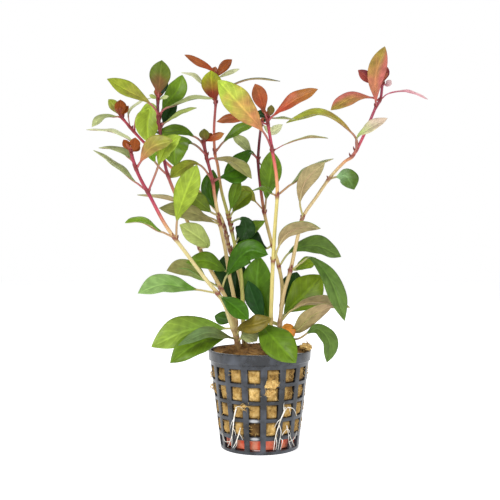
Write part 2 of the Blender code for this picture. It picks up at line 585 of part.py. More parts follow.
def make_plug(collection, cutters, stem_paths):
    """A tapered plug of mineral wool, with a socket for the foot of each stem."""
    wool = finish_material("mineral wool", (0.58, 0.36, 0.1), 0.95)
    plug = turned("rockwool_plug", PLUG_PROFILE, 2 * COLUMNS, collection, wool)
    weld(plug.data)
    for name, path in stem_paths.items():
        buried = [point for point in path if point.z < PLUG_TOP + 1]
        foot = path[:len(buried) + 1]
        foot[0] = foot[0] - Vector((0, 0, GAP))
        radii = [stem_radius(point.z) + GAP for point in foot]
        socket = tube("socket_" + name, foot, radii, 1, cutters, wool)
        hide_as_cutter(socket)
        cut = plug.modifiers.new(socket.name, "BOOLEAN")
        cut.operation = "DIFFERENCE"
        cut.object = socket
    return plug


def blade_width(t):
    """A leaf blade's share of its full width, from its base at 0 to its tip at 1."""
    if t <= 0 or t >= 1:
        return 0
    base_side = (t / WIDEST_POINT) ** (WIDEST_POINT * BASE_TAPER)
    tip_side = ((1 - t) / (1 - WIDEST_POINT)) ** ((1 - WIDEST_POINT) * TIP_SHARPNESS)
    return base_side * tip_side


def leaf_rows(length, petiole, blade_rows):
    """The distance and the half width share of each row of points along a leaf."""
    petiole_rows = 2 if petiole > LONG_PETIOLE else 1
    rows = [(petiole * row / petiole_rows, 0) for row in range(petiole_rows)]
    for row in range(blade_rows + 1):
        t = row / blade_rows
        rows.append((petiole + (length - petiole) * t, blade_width(t)))
    return rows


def make_leaf(name, path, description, halves, collection, material):
    """A grid laid along the leaf's midrib, folded at the middle if it has halves, and thickened."""
    petiole, width, face = description[1:]
    length = path_length(path)
    blade_rows = BLADE_ROWS
    if halves == 1:
        blade_rows = TINY_BLADE_ROWS if length < TINY_LENGTH else SMALL_BLADE_ROWS
    rows = leaf_rows(length, petiole, blade_rows)
    bpy.ops.mesh.primitive_grid_add(x_subdivisions=halves, y_subdivisions=len(rows) - 1, size=2)
    leaf = bpy.context.active_object
    for vertex in leaf.data.vertices:
        row = round((vertex.co.y + 1) / 2 * (len(rows) - 1))
        distance, share = rows[row]
        centre = point_at(path, distance)
        along = (point_at(path, distance + 0.5) - point_at(path, distance - 0.5)).normalized()
        across = along.cross(Vector(face)).normalized()
        up = across.cross(along)
        half_width = max(PETIOLE_HALF_WIDTH, width / 2 * share)
        spread = across * (vertex.co.x * math.cos(LEAF_FOLD))
        lift = up * (abs(vertex.co.x) * math.sin(LEAF_FOLD) * (halves - 1))
        vertex.co = (centre + (spread + lift) * half_width) * MM
    blade = leaf.modifiers.new("blade", "SOLIDIFY")
    blade.thickness = LEAF_THICKNESS * MM
    blade.offset = 0
    leaf.data.shade_smooth()
    return place(leaf, name, collection, material)


def make_stem(name, path, collection, cutters, material):
    """A round stem with its small young leaves grown onto it."""
    radii = [stem_radius(point.z) for point in path]
    stem = tube(name, path, radii, 1, collection, material)
    for number, description in enumerate(SMALL_LEAVES[name]):
        leaf_name = f"{name}_small_leaf_{number}"
        midrib = smooth_path([Vector(point) for point in description[0]])
        leaf = make_leaf(leaf_name, midrib, description, 1, cutters, material)
        hide_as_cutter(leaf)
        growth = stem.modifiers.new(leaf_name, "BOOLEAN")
        growth.operation = "UNION"
        growth.object = leaf
    return stem


def make_root(name, course, collection, material):
    """A thin root from inside a window down the outside of the wall."""
    points = []
    for number, (angle, height) in enumerate(course):
        clearance = -0.4 if number == 0 else ROOT_RADIUS + GAP
        radius = wall_radius(height) + clearance
        turn = math.radians(angle)
        points.append(Vector((radius * math.sin(turn), -radius * math.cos(turn), height)))
    path = smooth_path(points, 2)
    return tube(name, path, [ROOT_RADIUS] * len(path), 0, collection, material)


def stem_path(points):
    """A stem's smooth centre line with a point every STEM_STEP millimetres."""
    path = smooth_path([Vector(point) for point in points])
    length = path_length(path)
    count = round(length / STEM_STEP)
    return [point_at(path, length * number / count) for number in range(count + 1)]


for old_object in list(bpy.data.objects):
    bpy.data.objects.remove(old_object)

plant = new_collection("potted_rubin_ludwigia")
cutter_collection = new_collection("cutters")
stem_paths = {name: stem_path(points) for name, points in STEMS.items()}

make_net_pot(plant)
make_clay_ring(plant)
make_plug(plant, cutter_collection, stem_paths)

stem_skin = finish_material("stem skin", (0.55, 0.3, 0.16), 0.5)
for stem_name, centre_line in stem_paths.items():
    make_stem(stem_name, centre_line, plant, cutter_collection, stem_skin)

leaf_skin = finish_material("leaf", (0.16, 0.3, 0.04), 0.4)
for leaf_name, leaf_description in LEAVES.items():
    leaf_midrib = smooth_path([Vector(point) for point in leaf_description[0]])
    own_stem = stem_paths[OWN_STEM.get(leaf_name, "stem_" + leaf_name.split("_")[1])]
    free_midrib = trim_start(leaf_midrib, clear_start(leaf_midrib, own_stem))
    make_leaf(leaf_name, free_midrib, leaf_description, 2, plant, leaf_skin)

root_skin = finish_material("root", (0.8, 0.72, 0.6), 0.6)
for root_name, root_course in ROOTS.items():
    make_root(root_name, root_course, plant, root_skin)
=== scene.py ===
"""Potted rubin ludwigia: eight stems with paired leaves in a net pot, finished for rendering."""
import math
import random

import bpy
from mathutils import Matrix, Vector, noise


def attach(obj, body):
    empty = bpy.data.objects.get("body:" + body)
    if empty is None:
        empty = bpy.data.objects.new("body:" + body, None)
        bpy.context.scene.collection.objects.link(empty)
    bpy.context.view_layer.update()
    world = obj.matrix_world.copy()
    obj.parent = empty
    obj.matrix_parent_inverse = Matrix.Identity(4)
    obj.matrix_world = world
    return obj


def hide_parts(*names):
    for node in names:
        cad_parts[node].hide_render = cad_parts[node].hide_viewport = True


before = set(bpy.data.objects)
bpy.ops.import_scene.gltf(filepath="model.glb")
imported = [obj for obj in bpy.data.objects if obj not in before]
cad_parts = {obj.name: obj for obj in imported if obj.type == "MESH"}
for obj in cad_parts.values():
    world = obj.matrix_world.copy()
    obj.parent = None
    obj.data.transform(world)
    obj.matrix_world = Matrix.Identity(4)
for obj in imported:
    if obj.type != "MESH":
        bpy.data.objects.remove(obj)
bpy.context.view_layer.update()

# Camera
# The plant is seen from the front, level with the middle of its leaves and a little over a
# third of a metre away. The pot's foot stands near the bottom of the square frame.
MM = 0.001
EYE = Vector((-4.9, -368, 93.8))
SENSOR_WIDTH = 36
FOCAL_LENGTH = 52.3
FRAME_SHIFT = 0.02

camera_data = bpy.data.cameras.new("camera")
camera_data.sensor_width = SENSOR_WIDTH
camera_data.lens = FOCAL_LENGTH
camera_data.shift_y = FRAME_SHIFT
camera = bpy.data.objects.new("camera", camera_data)
camera.location = EYE * MM
camera.rotation_euler = (math.pi / 2, 0, 0)
bpy.context.scene.collection.objects.link(camera)
bpy.context.scene.camera = camera


# Studio
# A white paper floor carries the pot. A broad soft lamp lights it from the upper left, weaker
# ones from the right, the front and behind, and an even white surround fills the shadows.
FLOOR_SIZE = 6
FLOOR_GLOW = 0.6
SURROUND_LIGHT = 0.42
LAMP_TARGET = Vector((0, 0, 0.1))
# Each lamp: its place and its width in metres, and its power in watts
LAMPS = {
    "key_lamp": ((-0.55, -0.65, 0.8), 0.5, 6.6),
    "fill_lamp": ((0.8, -0.5, 0.45), 0.8, 2),
    "front_lamp": ((0.12, -0.95, 0.25), 0.25, 1.3),
    "back_lamp": ((0.2, 0.9, 0.7), 0.8, 3),
}


def linear(hex_colour):
    """An sRGB hex colour as linear red, green, blue and alpha."""
    channels = [int(hex_colour[i:i + 2], 16) / 255 for i in (0, 2, 4)]
    return [c / 12.92 if c <= 0.04045 else ((c + 0.055) / 1.055) ** 2.4 for c in channels] + [1]


def add_node(tree, kind, inputs=None, **settings):
    """Add a node, give its inputs values or link sockets to them, and set its properties."""
    node = tree.nodes.new(kind)
    for name, value in settings.items():
        setattr(node, name, value)
    for key, value in (inputs or {}).items():
        if isinstance(value, bpy.types.NodeSocket):
            tree.links.new(value, node.inputs[key])
        else:
            node.inputs[key].default_value = value
    return node


def new_material(name, roughness, ior=1.5):
    """A material with its node tree and the shader to finish."""
    material = bpy.data.materials.new(name)
    material.use_nodes = True
    shader = material.node_tree.nodes["Principled BSDF"]
    shader.inputs["Roughness"].default_value = roughness
    shader.inputs["IOR"].default_value = ior
    return material, material.node_tree, shader


# White paper: matt, and lit from within a little so that it meets the surround with no edge
bpy.ops.mesh.primitive_plane_add(size=FLOOR_SIZE)
paper_floor = bpy.context.active_object
paper_floor.name = "paper_floor"
paper, _, paper_shader = new_material("white paper", 0.7)
paper_shader.inputs["Base Color"].default_value = linear("F6F6F8")
paper_shader.inputs["Emission Color"].default_value = linear("FFFFFF")
paper_shader.inputs["Emission Strength"].default_value = FLOOR_GLOW
paper_floor.data.materials.append(paper)

for lamp_name, (lamp_place, lamp_size, lamp_power) in LAMPS.items():
    lamp_data = bpy.data.lights.new(lamp_name, "AREA")
    lamp_data.size = lamp_size
    lamp_data.energy = lamp_power
    lamp = bpy.data.objects.new(lamp_name, lamp_data)
    lamp.location = lamp_place
    aim = LAMP_TARGET - lamp.location
    lamp.rotation_euler = aim.to_track_quat("-Z", "Y").to_euler()
    bpy.context.scene.collection.objects.link(lamp)

surround = bpy.data.worlds.new("surround")
surround.use_nodes = True
sky = surround.node_tree
seen = add_node(sky, "ShaderNodeLightPath").outputs["Is Camera Ray"]
strength = add_node(sky, "ShaderNodeMapRange", {
    "Value": seen, "To Min": SURROUND_LIGHT, "To Max": 1})
sky.nodes["Background"].inputs["Color"].default_value = linear("FFFFFF")
sky.links.new(strength.outputs["Result"], sky.nodes["Background"].inputs["Strength"])
bpy.context.scene.world = surround
bpy.context.scene.view_settings.view_transform = "Standard"


# Net pot
# Injection moulded polypropylene, near black, with 16 columns of windows in 5 rows under a thick
# collar. One ring of edges is pulled out and up into a sheet, cut and given its wall.
# Sizes are in mm. Each row of windows has its lower and upper edge.
POT_STEPS = 96
COLUMNS = 16
WINDOW_SHARE = 2 / 3
FIRST_WINDOW = math.radians(-7.3)
WINDOW_ROWS = [(1.6, 7), (9, 15.9), (17.6, 24.5), (26.1, 33), (34.7, 41.6)]
BASE_RADIUS = 19.6
WALL_TOP_RADIUS = 24.9
RIM_RADIUS = 26
RIM_HEIGHT = 48.6
COLLAR_BOTTOM = 43.4
COLLAR_STEP = 0.5
COLLAR_TAPER = 0.35
LIP_TAPER = 0.1
LIP_HEIGHT = 1
HUB_RADIUS = 7
SLOT_RADIUS = 16.4
WALL_THICKNESS = 1.3
MOULD_ROUNDING = 0.22
SHARP_ANGLE = math.radians(35)
# How close to a level in mm a point is still on it
LEVEL_TOLERANCE = 0.1


def choose(obj, kind, passes):
    """Go to edit mode with only the vertices, edges or polygons selected that pass a test."""
    bpy.ops.object.mode_set(mode="OBJECT")
    for group in ("vertices", "edges", "polygons"):
        members = getattr(obj.data, group)
        members.foreach_set("select", [group == kind and passes(item) for item in members])
    modes = [kind == group for group in ("vertices", "edges", "polygons")]
    bpy.context.tool_settings.mesh_select_mode = modes
    bpy.ops.object.mode_set(mode="EDIT")


def pull_rings(name, steps, profile):
    """A turned sheet: a disc whose edge is extruded through (radius, height) rings, in mm."""
    bpy.ops.object.select_all(action="DESELECT")
    radius, height = profile[0]
    bpy.ops.mesh.primitive_circle_add(vertices=steps, radius=radius * MM, fill_type="NGON",
                                      location=(0, 0, height * MM))
    obj = bpy.context.active_object
    bpy.ops.object.transform_apply()
    bpy.ops.object.mode_set(mode="EDIT")
    bpy.context.tool_settings.mesh_select_mode = (False, True, False)
    bpy.ops.mesh.select_all(action="SELECT")
    for next_radius, next_height in profile[1:]:
        bpy.ops.mesh.extrude_edges_move()
        bpy.ops.transform.translate(value=(0, 0, (next_height - height) * MM))
        scale = next_radius / radius
        bpy.ops.transform.resize(value=(scale, scale, 1), center_override=(0, 0, next_height * MM))
        radius, height = next_radius, next_height
    bpy.ops.object.mode_set(mode="OBJECT")
    obj.name = name
    obj.data.name = name
    return obj


def face_outwards():
    """Turn all faces of the mesh in edit mode outwards, and leave edit mode."""
    bpy.ops.mesh.select_all(action="SELECT")
    bpy.ops.mesh.normals_make_consistent(inside=False)
    bpy.ops.object.mode_set(mode="OBJECT")


def apply_all(obj):
    """Apply an object's modifiers in order."""
    bpy.context.view_layer.objects.active = obj
    for modifier in list(obj.modifiers):
        bpy.ops.object.modifier_apply(modifier=modifier.name)


def dress(obj, *materials):
    """Give an object its materials, in the order of its slots."""
    obj.data.materials.clear()
    for material in materials:
        obj.data.materials.append(material)


def wall_radius(height):
    """The radius of the pot's wall at a height, both in mm."""
    return BASE_RADIUS + (WALL_TOP_RADIUS - BASE_RADIUS) * min(1, height / COLLAR_BOTTOM)


def column_place(point):
    """A place round the pot in columns, with a whole number in the middle of each window."""
    return (math.atan2(point.x, -point.y) - FIRST_WINDOW) / (math.tau / COLUMNS)


def in_opening(face):
    """Whether a face of the pot's sheet is in a window or in a slot of the base."""
    place = column_place(face.center)
    if abs(place - round(place)) > WINDOW_SHARE / 2:
        return False
    radius = math.hypot(face.center.x, face.center.y) / MM
    height = face.center.z / MM
    if height < LEVEL_TOLERANCE:
        return HUB_RADIUS < radius < SLOT_RADIUS and round(place) % 2 == 0
    return any(low < height < high for low, high in WINDOW_ROWS)


pot_profile = [(HUB_RADIUS, 0), (SLOT_RADIUS, 0), (BASE_RADIUS, 0)]
for window_low, window_high in WINDOW_ROWS:
    pot_profile += [(wall_radius(window_low), window_low), (wall_radius(window_high), window_high)]
pot_profile += [
    (WALL_TOP_RADIUS, COLLAR_BOTTOM), (RIM_RADIUS - COLLAR_TAPER, COLLAR_BOTTOM + COLLAR_STEP),
    (RIM_RADIUS - LIP_TAPER, RIM_HEIGHT - LIP_HEIGHT), (RIM_RADIUS, RIM_HEIGHT)]
net_pot = pull_rings("moulded_net_pot", POT_STEPS, pot_profile)
bpy.ops.object.select_all(action="DESELECT")
net_pot.select_set(True)
net_pot.rotation_euler.z = FIRST_WINDOW
bpy.ops.object.transform_apply()
choose(net_pot, "polygons", in_opening)
bpy.ops.mesh.delete(type="FACE")
face_outwards()
wall = net_pot.modifiers.new("wall", "SOLIDIFY")
wall.thickness = WALL_THICKNESS * MM
wall.offset = -1
wall.use_even_offset = True
rounding = net_pot.modifiers.new("rounding", "BEVEL")
rounding.width = MOULD_ROUNDING * MM
rounding.segments = 2
rounding.limit_method = "ANGLE"
rounding.angle_limit = SHARP_ANGLE
apply_all(net_pot)
bpy.ops.object.shade_smooth_by_angle(angle=SHARP_ANGLE)

# Black polypropylene, moulded with a fine satin grain, which is drawn a few times coarser than
# the real one, and dulled in patches by dried water. Two pale patches on the bars are painted
# highlights.
PLASTIC_GRAIN = 0.35
WATER_MARKS = 6
# Painted highlights, pale patches where two bars catch the light: the middle and the half size
# of each patch in mm
BAR_HIGHLIGHT_PATCHES = [((-3, -21.5, 16.8), (2.6, 4, 1)), ((-2.6, -20, 8), (2.4, 4, 0.9))]
BAR_HIGHLIGHT_COVER = 0.75
plastic, tree, shader = new_material("moulded polypropylene", 0.4)
place = add_node(tree, "ShaderNodeTexCoord").outputs["Object"]
marks = add_node(tree, "ShaderNodeTexNoise", {
    "Vector": place, "Scale": 1 / (WATER_MARKS * MM), "Detail": 5}).outputs["Fac"]
tone = add_node(tree, "ShaderNodeValToRGB", {"Fac": marks})
tone.color_ramp.elements[0].position = 0.42
tone.color_ramp.elements[0].color = linear("1A1D22")
tone.color_ramp.elements[1].position = 0.72
tone.color_ramp.elements[1].color = linear("464B54")
gloss = add_node(tree, "ShaderNodeMapRange", {"Value": marks, "To Min": 0.18, "To Max": 0.38})
grain = add_node(tree, "ShaderNodeTexNoise", {"Vector": place, "Scale": 1 / (PLASTIC_GRAIN * MM)})
relief = add_node(tree, "ShaderNodeBump", {
    "Height": grain.outputs["Fac"], "Strength": 0.25, "Distance": 0.05 * MM})
colour = tone.outputs["Color"]
# Each pale patch mixed in here is a painted highlight where a bar catches the light
for middle, half_size in BAR_HIGHLIGHT_PATCHES:
    from_middle = add_node(tree, "ShaderNodeMapping", {
        "Vector": place, "Location": [c * MM for c in middle],
        "Scale": [c * MM for c in half_size]}, vector_type="TEXTURE")
    distance = add_node(tree, "ShaderNodeVectorMath", {
        0: from_middle.outputs["Vector"]}, operation="LENGTH")
    inside = add_node(tree, "ShaderNodeMapRange", {
        "Value": distance.outputs["Value"], "From Min": 1, "From Max": 0.5,
        "To Min": 0, "To Max": BAR_HIGHLIGHT_COVER})
    highlighted = add_node(tree, "ShaderNodeMix", {
        "Factor": inside.outputs["Result"], "A": colour}, data_type="RGBA")
    highlighted.inputs["B"].default_value = linear("C4C6C8")
    colour = highlighted.outputs["Result"]
tree.links.new(colour, shader.inputs["Base Color"])
tree.links.new(gloss.outputs["Result"], shader.inputs["Roughness"])
tree.links.new(relief.outputs["Normal"], shader.inputs["Normal"])
dress(net_pot, plastic)
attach(net_pot, "root")
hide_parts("net_pot")


# Clay ring
# A ring of coral-coloured fired clay that stands on the pot's base and shows through the lowest
# windows. Its square section is pulled round, its ends are merged and its edges are worn.
CLAY_STEPS = 64
CLAY_LOW = 1.6
CLAY_HIGH = 7.2
CLAY_INNER = 9
CLAY_OUTER = 17.2
CLAY_WEAR = 0.7
CLOSING_GAP = 0.01


def patchy_material(name, roughness, patch_width, detail, tones, bump_strength, bump_depth):
    """A skin mottled between two tones in soft patches, which rise a little; sizes are in mm."""
    material, tree, shader = new_material(name, roughness)
    place = add_node(tree, "ShaderNodeTexCoord").outputs["Object"]
    patches = add_node(tree, "ShaderNodeTexNoise", {
        "Vector": place, "Scale": 1 / (patch_width * MM), "Detail": detail}).outputs["Fac"]
    blend = add_node(tree, "ShaderNodeValToRGB", {"Fac": patches})
    for stop, (position, hex_colour) in zip(blend.color_ramp.elements, tones):
        stop.position = position
        stop.color = linear(hex_colour)
    relief = add_node(tree, "ShaderNodeBump", {
        "Height": patches, "Strength": bump_strength, "Distance": bump_depth * MM})
    tree.links.new(blend.outputs["Color"], shader.inputs["Base Color"])
    tree.links.new(relief.outputs["Normal"], shader.inputs["Normal"])
    return material


clay_ring = pull_rings("fired_clay_ring", CLAY_STEPS, [
    (CLAY_INNER, CLAY_LOW), (CLAY_OUTER, CLAY_LOW), (CLAY_OUTER, CLAY_HIGH),
    (CLAY_INNER, CLAY_HIGH), (CLAY_INNER, CLAY_LOW + CLOSING_GAP)])
choose(clay_ring, "polygons", lambda face: len(face.vertices) > 4)
bpy.ops.mesh.delete(type="ONLY_FACE")
bpy.ops.mesh.select_all(action="SELECT")
bpy.ops.mesh.remove_doubles(threshold=2 * CLOSING_GAP * MM)
face_outwards()
worn = clay_ring.modifiers.new("worn_edges", "BEVEL")
worn.width = CLAY_WEAR * MM
worn.segments = 3
worn.limit_method = "ANGLE"
apply_all(clay_ring)
bpy.ops.object.shade_smooth_by_angle(angle=math.radians(50))

# Fired clay: matt, with darker and paler patches a few millimetres wide
clay = patchy_material(
    "fired clay", roughness=0.45, patch_width=4, detail=4,
    tones=[(0.38, "FF5628"), (0.66, "FFAA88")], bump_strength=0.5, bump_depth=0.2)
dress(clay_ring, clay)
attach(clay_ring, "root")
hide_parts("clay_ring")


# Mineral wool
# A tapered plug of golden rock fibre, pressed into the pot so that it swells into each window,
# with loose strands on its surface. Its top is darkened by peat and old roots.
WOOL_STEPS = 192
WOOL_BOTTOM = 8.2
WOOL_TOP = 47
WOOL_SHOULDER = 48
WOOL_FOOT_RADII = (3, 12)
WOOL_RIM_RADIUS = 24.2
WOOL_CROWN = 49.8
WOOL_CROWN_FLATNESS = 5
WOOL_ROW_HEIGHT = 0.8
WOOL_CROWN_RINGS = 24
WOOL_CLEARANCE = 0.08
WOOL_SWELL = 1.35
# The lumps' width in mm and their roughness, fineness and depth as a fractal; then how far they
# lift the top, how evenly and unevenly the wool swells, how steeply, and its dents behind bars
WOOL_LUMP = 3.2
LUMP_FRACTAL = (0.8, 2.1, 4)
TOP_LUMPS = 0.9
TOP_SINK = 0.2
EVEN_SWELL = 0.75
UNEVEN_SWELL = 0.6
SWELL_STEEPNESS = 3
BAR_DENT = 0.12
# The light on the wool: most of it, its share behind a bar, how fast it fills a window, how much
# it dims to the right and, of that, to the left, how late, its patches in mm, and how its green
# and blue fade faster than its red
MOST_LIGHT = 0.98
BEHIND_BAR = 0.3
WINDOW_FILL = 1.6
SIDE_DIMMING = 0.5
LEFT_DIMMING = 0.6
SIDE_DELAY = 1.5
LIGHT_PATCH = 6
LIGHT_UNEVEN = 0.8
TOP_LIGHT = 0.95
TOP_UNEVEN = 0.5
FADING = (1, 1.15, 1.5)
# The middle of a window where the wool is darker: its angle in radians and its height, with
# the wall's radius there, the dark patch's half width, how soft its edge is and how much it
# darkens
DARK_WINDOW = (-0.13, 12.2)
DARK_RADIUS = 20
DARK_REACH = 4.5
DARK_EDGE = 1.6
DARK_SHARE = 0.75


def paint(obj, name, colour_at):
    """Store a colour on each vertex, from a function of its place in mm."""
    layer = obj.data.color_attributes.new(name, "FLOAT_COLOR", "POINT")
    for vertex, value in zip(obj.data.vertices, layer.data):
        value.color = colour_at(vertex.co / MM)


def smooth_step(value):
    """A smooth rise from 0 to 1 as a value goes from 0 to 1."""
    value = min(1, max(0, value))
    return value * value * (3 - 2 * value)


def window_share(point):
    """1 in the middle of a window and 0 behind a bar, for a place on the wall in mm."""
    place = column_place(point)
    across = 1 - abs(place - round(place)) / (WINDOW_SHARE / 2)
    for low, high in WINDOW_ROWS:
        if low < point.z < high:
            upward = 1 - abs(2 * (point.z - low) / (high - low) - 1)
            return smooth_step(across * SWELL_STEEPNESS) * smooth_step(upward * SWELL_STEEPNESS)
    return 0


def crown_height(share):
    """The height of the wool's domed top at a share of the way out to its rim."""
    return WOOL_CROWN - (WOOL_CROWN - WOOL_SHOULDER) * share ** WOOL_CROWN_FLATNESS


def in_crown_hole(edge):
    """Whether an edge is on the last small hole in the middle of the wool's top."""
    return all(wool.data.vertices[i].co.xy.length < hole_radius for i in edge.vertices)


wool_rows = round((WOOL_TOP - WOOL_BOTTOM) / WOOL_ROW_HEIGHT)
wool_profile = [(radius, WOOL_BOTTOM) for radius in WOOL_FOOT_RADII]
for row in range(wool_rows + 1):
    height = WOOL_BOTTOM + (WOOL_TOP - WOOL_BOTTOM) * row / wool_rows
    wool_profile.append((wall_radius(height) - WALL_THICKNESS - WOOL_CLEARANCE, height))
wool_profile.append((WOOL_RIM_RADIUS, WOOL_SHOULDER))
for step in range(1, WOOL_CROWN_RINGS + 1):
    share = 1 - step / (WOOL_CROWN_RINGS + 1)
    wool_profile.append((WOOL_RIM_RADIUS * share, crown_height(share)))
wool = pull_rings("wool_plug", WOOL_STEPS, wool_profile)
hole_radius = wool_profile[-1][0] * 1.01 * MM
choose(wool, "edges", in_crown_hole)
bpy.ops.mesh.edge_face_add()
face_outwards()
for vertex in wool.data.vertices:
    spot = vertex.co / MM
    lump = noise.fractal(spot / WOOL_LUMP, *LUMP_FRACTAL)
    radius = spot.xy.length
    if spot.z > WOOL_TOP + LEVEL_TOLERANCE:
        vertex.co.z += (TOP_LUMPS * lump - TOP_SINK) * MM
    elif spot.z > WOOL_BOTTOM + LEVEL_TOLERANCE:
        push = WOOL_SWELL * window_share(spot) * (EVEN_SWELL + UNEVEN_SWELL * lump)
        push += BAR_DENT * min(0, lump)
        vertex.co.x += push * MM * spot.x / radius
        vertex.co.y += push * MM * spot.y / radius
wool.data.shade_smooth()


# The shade painted on the wool: darker behind the bars and on its sides, more on the right
def wool_shade(spot):
    """How light the wool is: dim behind the bars and to the right, and dark in one window."""
    angle = math.atan2(spot.x, -spot.y)
    turned = max(math.sin(angle), -LEFT_DIMMING * math.sin(angle)) ** SIDE_DELAY
    in_window = smooth_step(WINDOW_FILL * window_share(spot))
    light = (BEHIND_BAR + (1 - BEHIND_BAR) * in_window) * (MOST_LIGHT - SIDE_DIMMING * turned)
    light *= 1 + LIGHT_UNEVEN * noise.noise(spot / LIGHT_PATCH)
    if spot.z > WOOL_TOP:
        light = TOP_LIGHT + TOP_UNEVEN * noise.noise(spot / LIGHT_PATCH)
    across = (angle - DARK_WINDOW[0]) * DARK_RADIUS / DARK_REACH
    upward = (spot.z - DARK_WINDOW[1]) / DARK_REACH
    light *= 1 - DARK_SHARE * smooth_step(DARK_EDGE - math.hypot(across, upward))
    return [light ** power for power in FADING] + [1]


# Rock wool: tangled mineral fibre, golden where it is clean and brown where peat sits. Its colour
# is also multiplied by painted shade, darker and browner behind the bars and on its sides. Its
# streaks are drawn much wider than real fibres, which are too fine to show.
CLUMP_WIDTH = 2.6
STREAK_WIDTH = 0.35
PEAT_LOW = 46.8
PEAT_HIGH = 48.6
wool_skin, tree, shader = new_material("rock wool", 0.95)
place = add_node(tree, "ShaderNodeTexCoord").outputs["Object"]
clumps = add_node(tree, "ShaderNodeTexNoise", {
    "Vector": place, "Scale": 1 / (CLUMP_WIDTH * MM), "Detail": 7, "Roughness": 0.7})
tangle = add_node(tree, "ShaderNodeTexNoise", {
    "Vector": place, "Scale": 1 / (STREAK_WIDTH * MM), "Distortion": 2.5})
most = add_node(tree, "ShaderNodeMath", {0: clumps.outputs["Fac"], 1: 0.75}, operation="MULTIPLY")
blend = add_node(tree, "ShaderNodeMath", {
    0: tangle.outputs["Fac"], 1: 0.25, 2: most.outputs[0]}, operation="MULTIPLY_ADD")
tone = add_node(tree, "ShaderNodeValToRGB", {"Fac": blend.outputs[0]})
tone.color_ramp.elements[0].position = 0.36
tone.color_ramp.elements[0].color = linear("5C4424")
tone.color_ramp.elements[1].position = 0.66
tone.color_ramp.elements[1].color = linear("E2C68A")
golden = tone.color_ramp.elements.new(0.48)
golden.color = linear("BE974E")
# Painted shade: the light and shade that wool_shade painted on the wool, stored as "shade"
painted = add_node(tree, "ShaderNodeVertexColor", layer_name="shade")
shaded = add_node(tree, "ShaderNodeVectorMath", {
    0: tone.outputs["Color"], 1: painted.outputs["Color"]}, operation="MULTIPLY")
height_now = add_node(tree, "ShaderNodeSeparateXYZ", {"Vector": place}).outputs["Z"]
peat = add_node(tree, "ShaderNodeMapRange", {
    "Value": height_now, "From Min": PEAT_LOW * MM, "From Max": PEAT_HIGH * MM})
dark_top = add_node(tree, "ShaderNodeMix", {
    "Factor": peat.outputs["Result"], "A": shaded.outputs["Vector"]},
    data_type="RGBA", blend_type="MULTIPLY")
dark_top.inputs["B"].default_value = linear("B8A488")
relief = add_node(tree, "ShaderNodeBump", {
    "Height": blend.outputs[0], "Strength": 1.0, "Distance": 0.6 * MM})
tree.links.new(relief.outputs["Normal"], shader.inputs["Normal"])
tree.links.new(dark_top.outputs["Result"], shader.inputs["Base Color"])

# Loose fibre, drawn about ten times as thick as the real one so that it shows, and the dead
# brown roots and peat that lie on top
FIBRE_RADIUS = 0.07
# How many points a fibre has, how far it bends and rises as shares of its length, over what arc,
# how thin its end is, how deep it starts, and its length and place in each window
FIBRE_POINTS = 6
FIBRE_BEND = 0.5
FIBRE_RISE = (0.1, 0.3)
FIBRE_ARC = 0.9 * math.pi
FIBRE_END = 0.3
FIBRE_DEPTH = 0.45
FIBRES_PER_WINDOW = 7
FIBRE_LENGTHS = (1.2, 2.6)
FIBRE_MARGIN = 1
FIBRE_SPREAD = 0.1
LITTER_COUNT = 55
LITTER_RADIUS = 0.16
LITTER_THICKNESSES = (0.5, 1.2)
LITTER_LENGTHS = (1.5, 4.5)
LITTER_DEPTH = 0.1
LITTER_REACH = 0.95
LITTER_OVERHANG = 1
# Places where a tuft has been pulled out: angle from the front in degrees, distance from the
# middle and height in mm, then its spread round, out and up
TUFTS = [
    (13.5, 24, 34.8, 3.7, 1.3, 2.3), (12, 23.2, 30.5, 2.6, 1.1, 2), (76, 23.4, 50.6, 5, 3.2, 2),
    (-97, 23.2, 35.5, 2.4, 1.5, 2.6), (-93, 22.8, 30, 1.8, 1.3, 2), (-20, 21.8, 23.6, 1.8, 0.9, 1.4),
    (92, 23, 38, 1.8, 1.2, 2.4),
]
TUFT_SIZE = 0.85
TUFT_UNEVEN = 0.42
TUFT_LUMPS = 1.3
TUFT_FRACTAL = (0.9, 2.2, 3)
TUFT_FIBRES = 60
TUFT_FIBRE_LENGTHS = (1.2, 3)
TUFT_FIBRE_THICKNESS = 1.3
TUFT_FIBRE_ROOTS = 0.75


def smooth_path(points, steps=8):
    """Points along a Catmull-Rom curve through a list of points."""
    ends = [2 * points[0] - points[1], *points, 2 * points[-1] - points[-2]]
    path = []
    for before, start, end, after in zip(ends, ends[1:], ends[2:], ends[3:]):
        for step in range(steps):
            t = step / steps
            path.append(0.5 * (2 * start + (end - before) * t
                               + (2 * before - 5 * start + 4 * end - after) * t ** 2
                               + (3 * start - before - 3 * end + after) * t ** 3))
    path.append(points[-1])
    return path


def even_path(points, spacing):
    """A smooth curve through some points, as points at an even spacing."""
    fine = smooth_path([Vector(point) for point in points])
    spans = [(b - a).length for a, b in zip(fine, fine[1:])]
    count = max(2, round(sum(spans) / spacing))
    path = [fine[0]]
    index, walked = 0, 0
    for step in range(1, count):
        target = sum(spans) * step / count
        while walked + spans[index] < target:
            walked += spans[index]
            index += 1
        path.append(fine[index].lerp(fine[index + 1], (target - walked) / spans[index]))
    path.append(fine[-1])
    return path


def select_only(obj):
    """Make an object the only one that is selected, and the active one."""
    bpy.ops.object.select_all(action="DESELECT")
    obj.select_set(True)
    bpy.context.view_layer.objects.active = obj


def tidy_mesh(obj, distance=0.01):
    """Merge a mesh's points that are closer than a distance in mm, and turn its faces outwards."""
    select_only(obj)
    bpy.ops.object.mode_set(mode="EDIT")
    bpy.ops.mesh.select_all(action="SELECT")
    bpy.ops.mesh.remove_doubles(threshold=distance * MM)
    face_outwards()


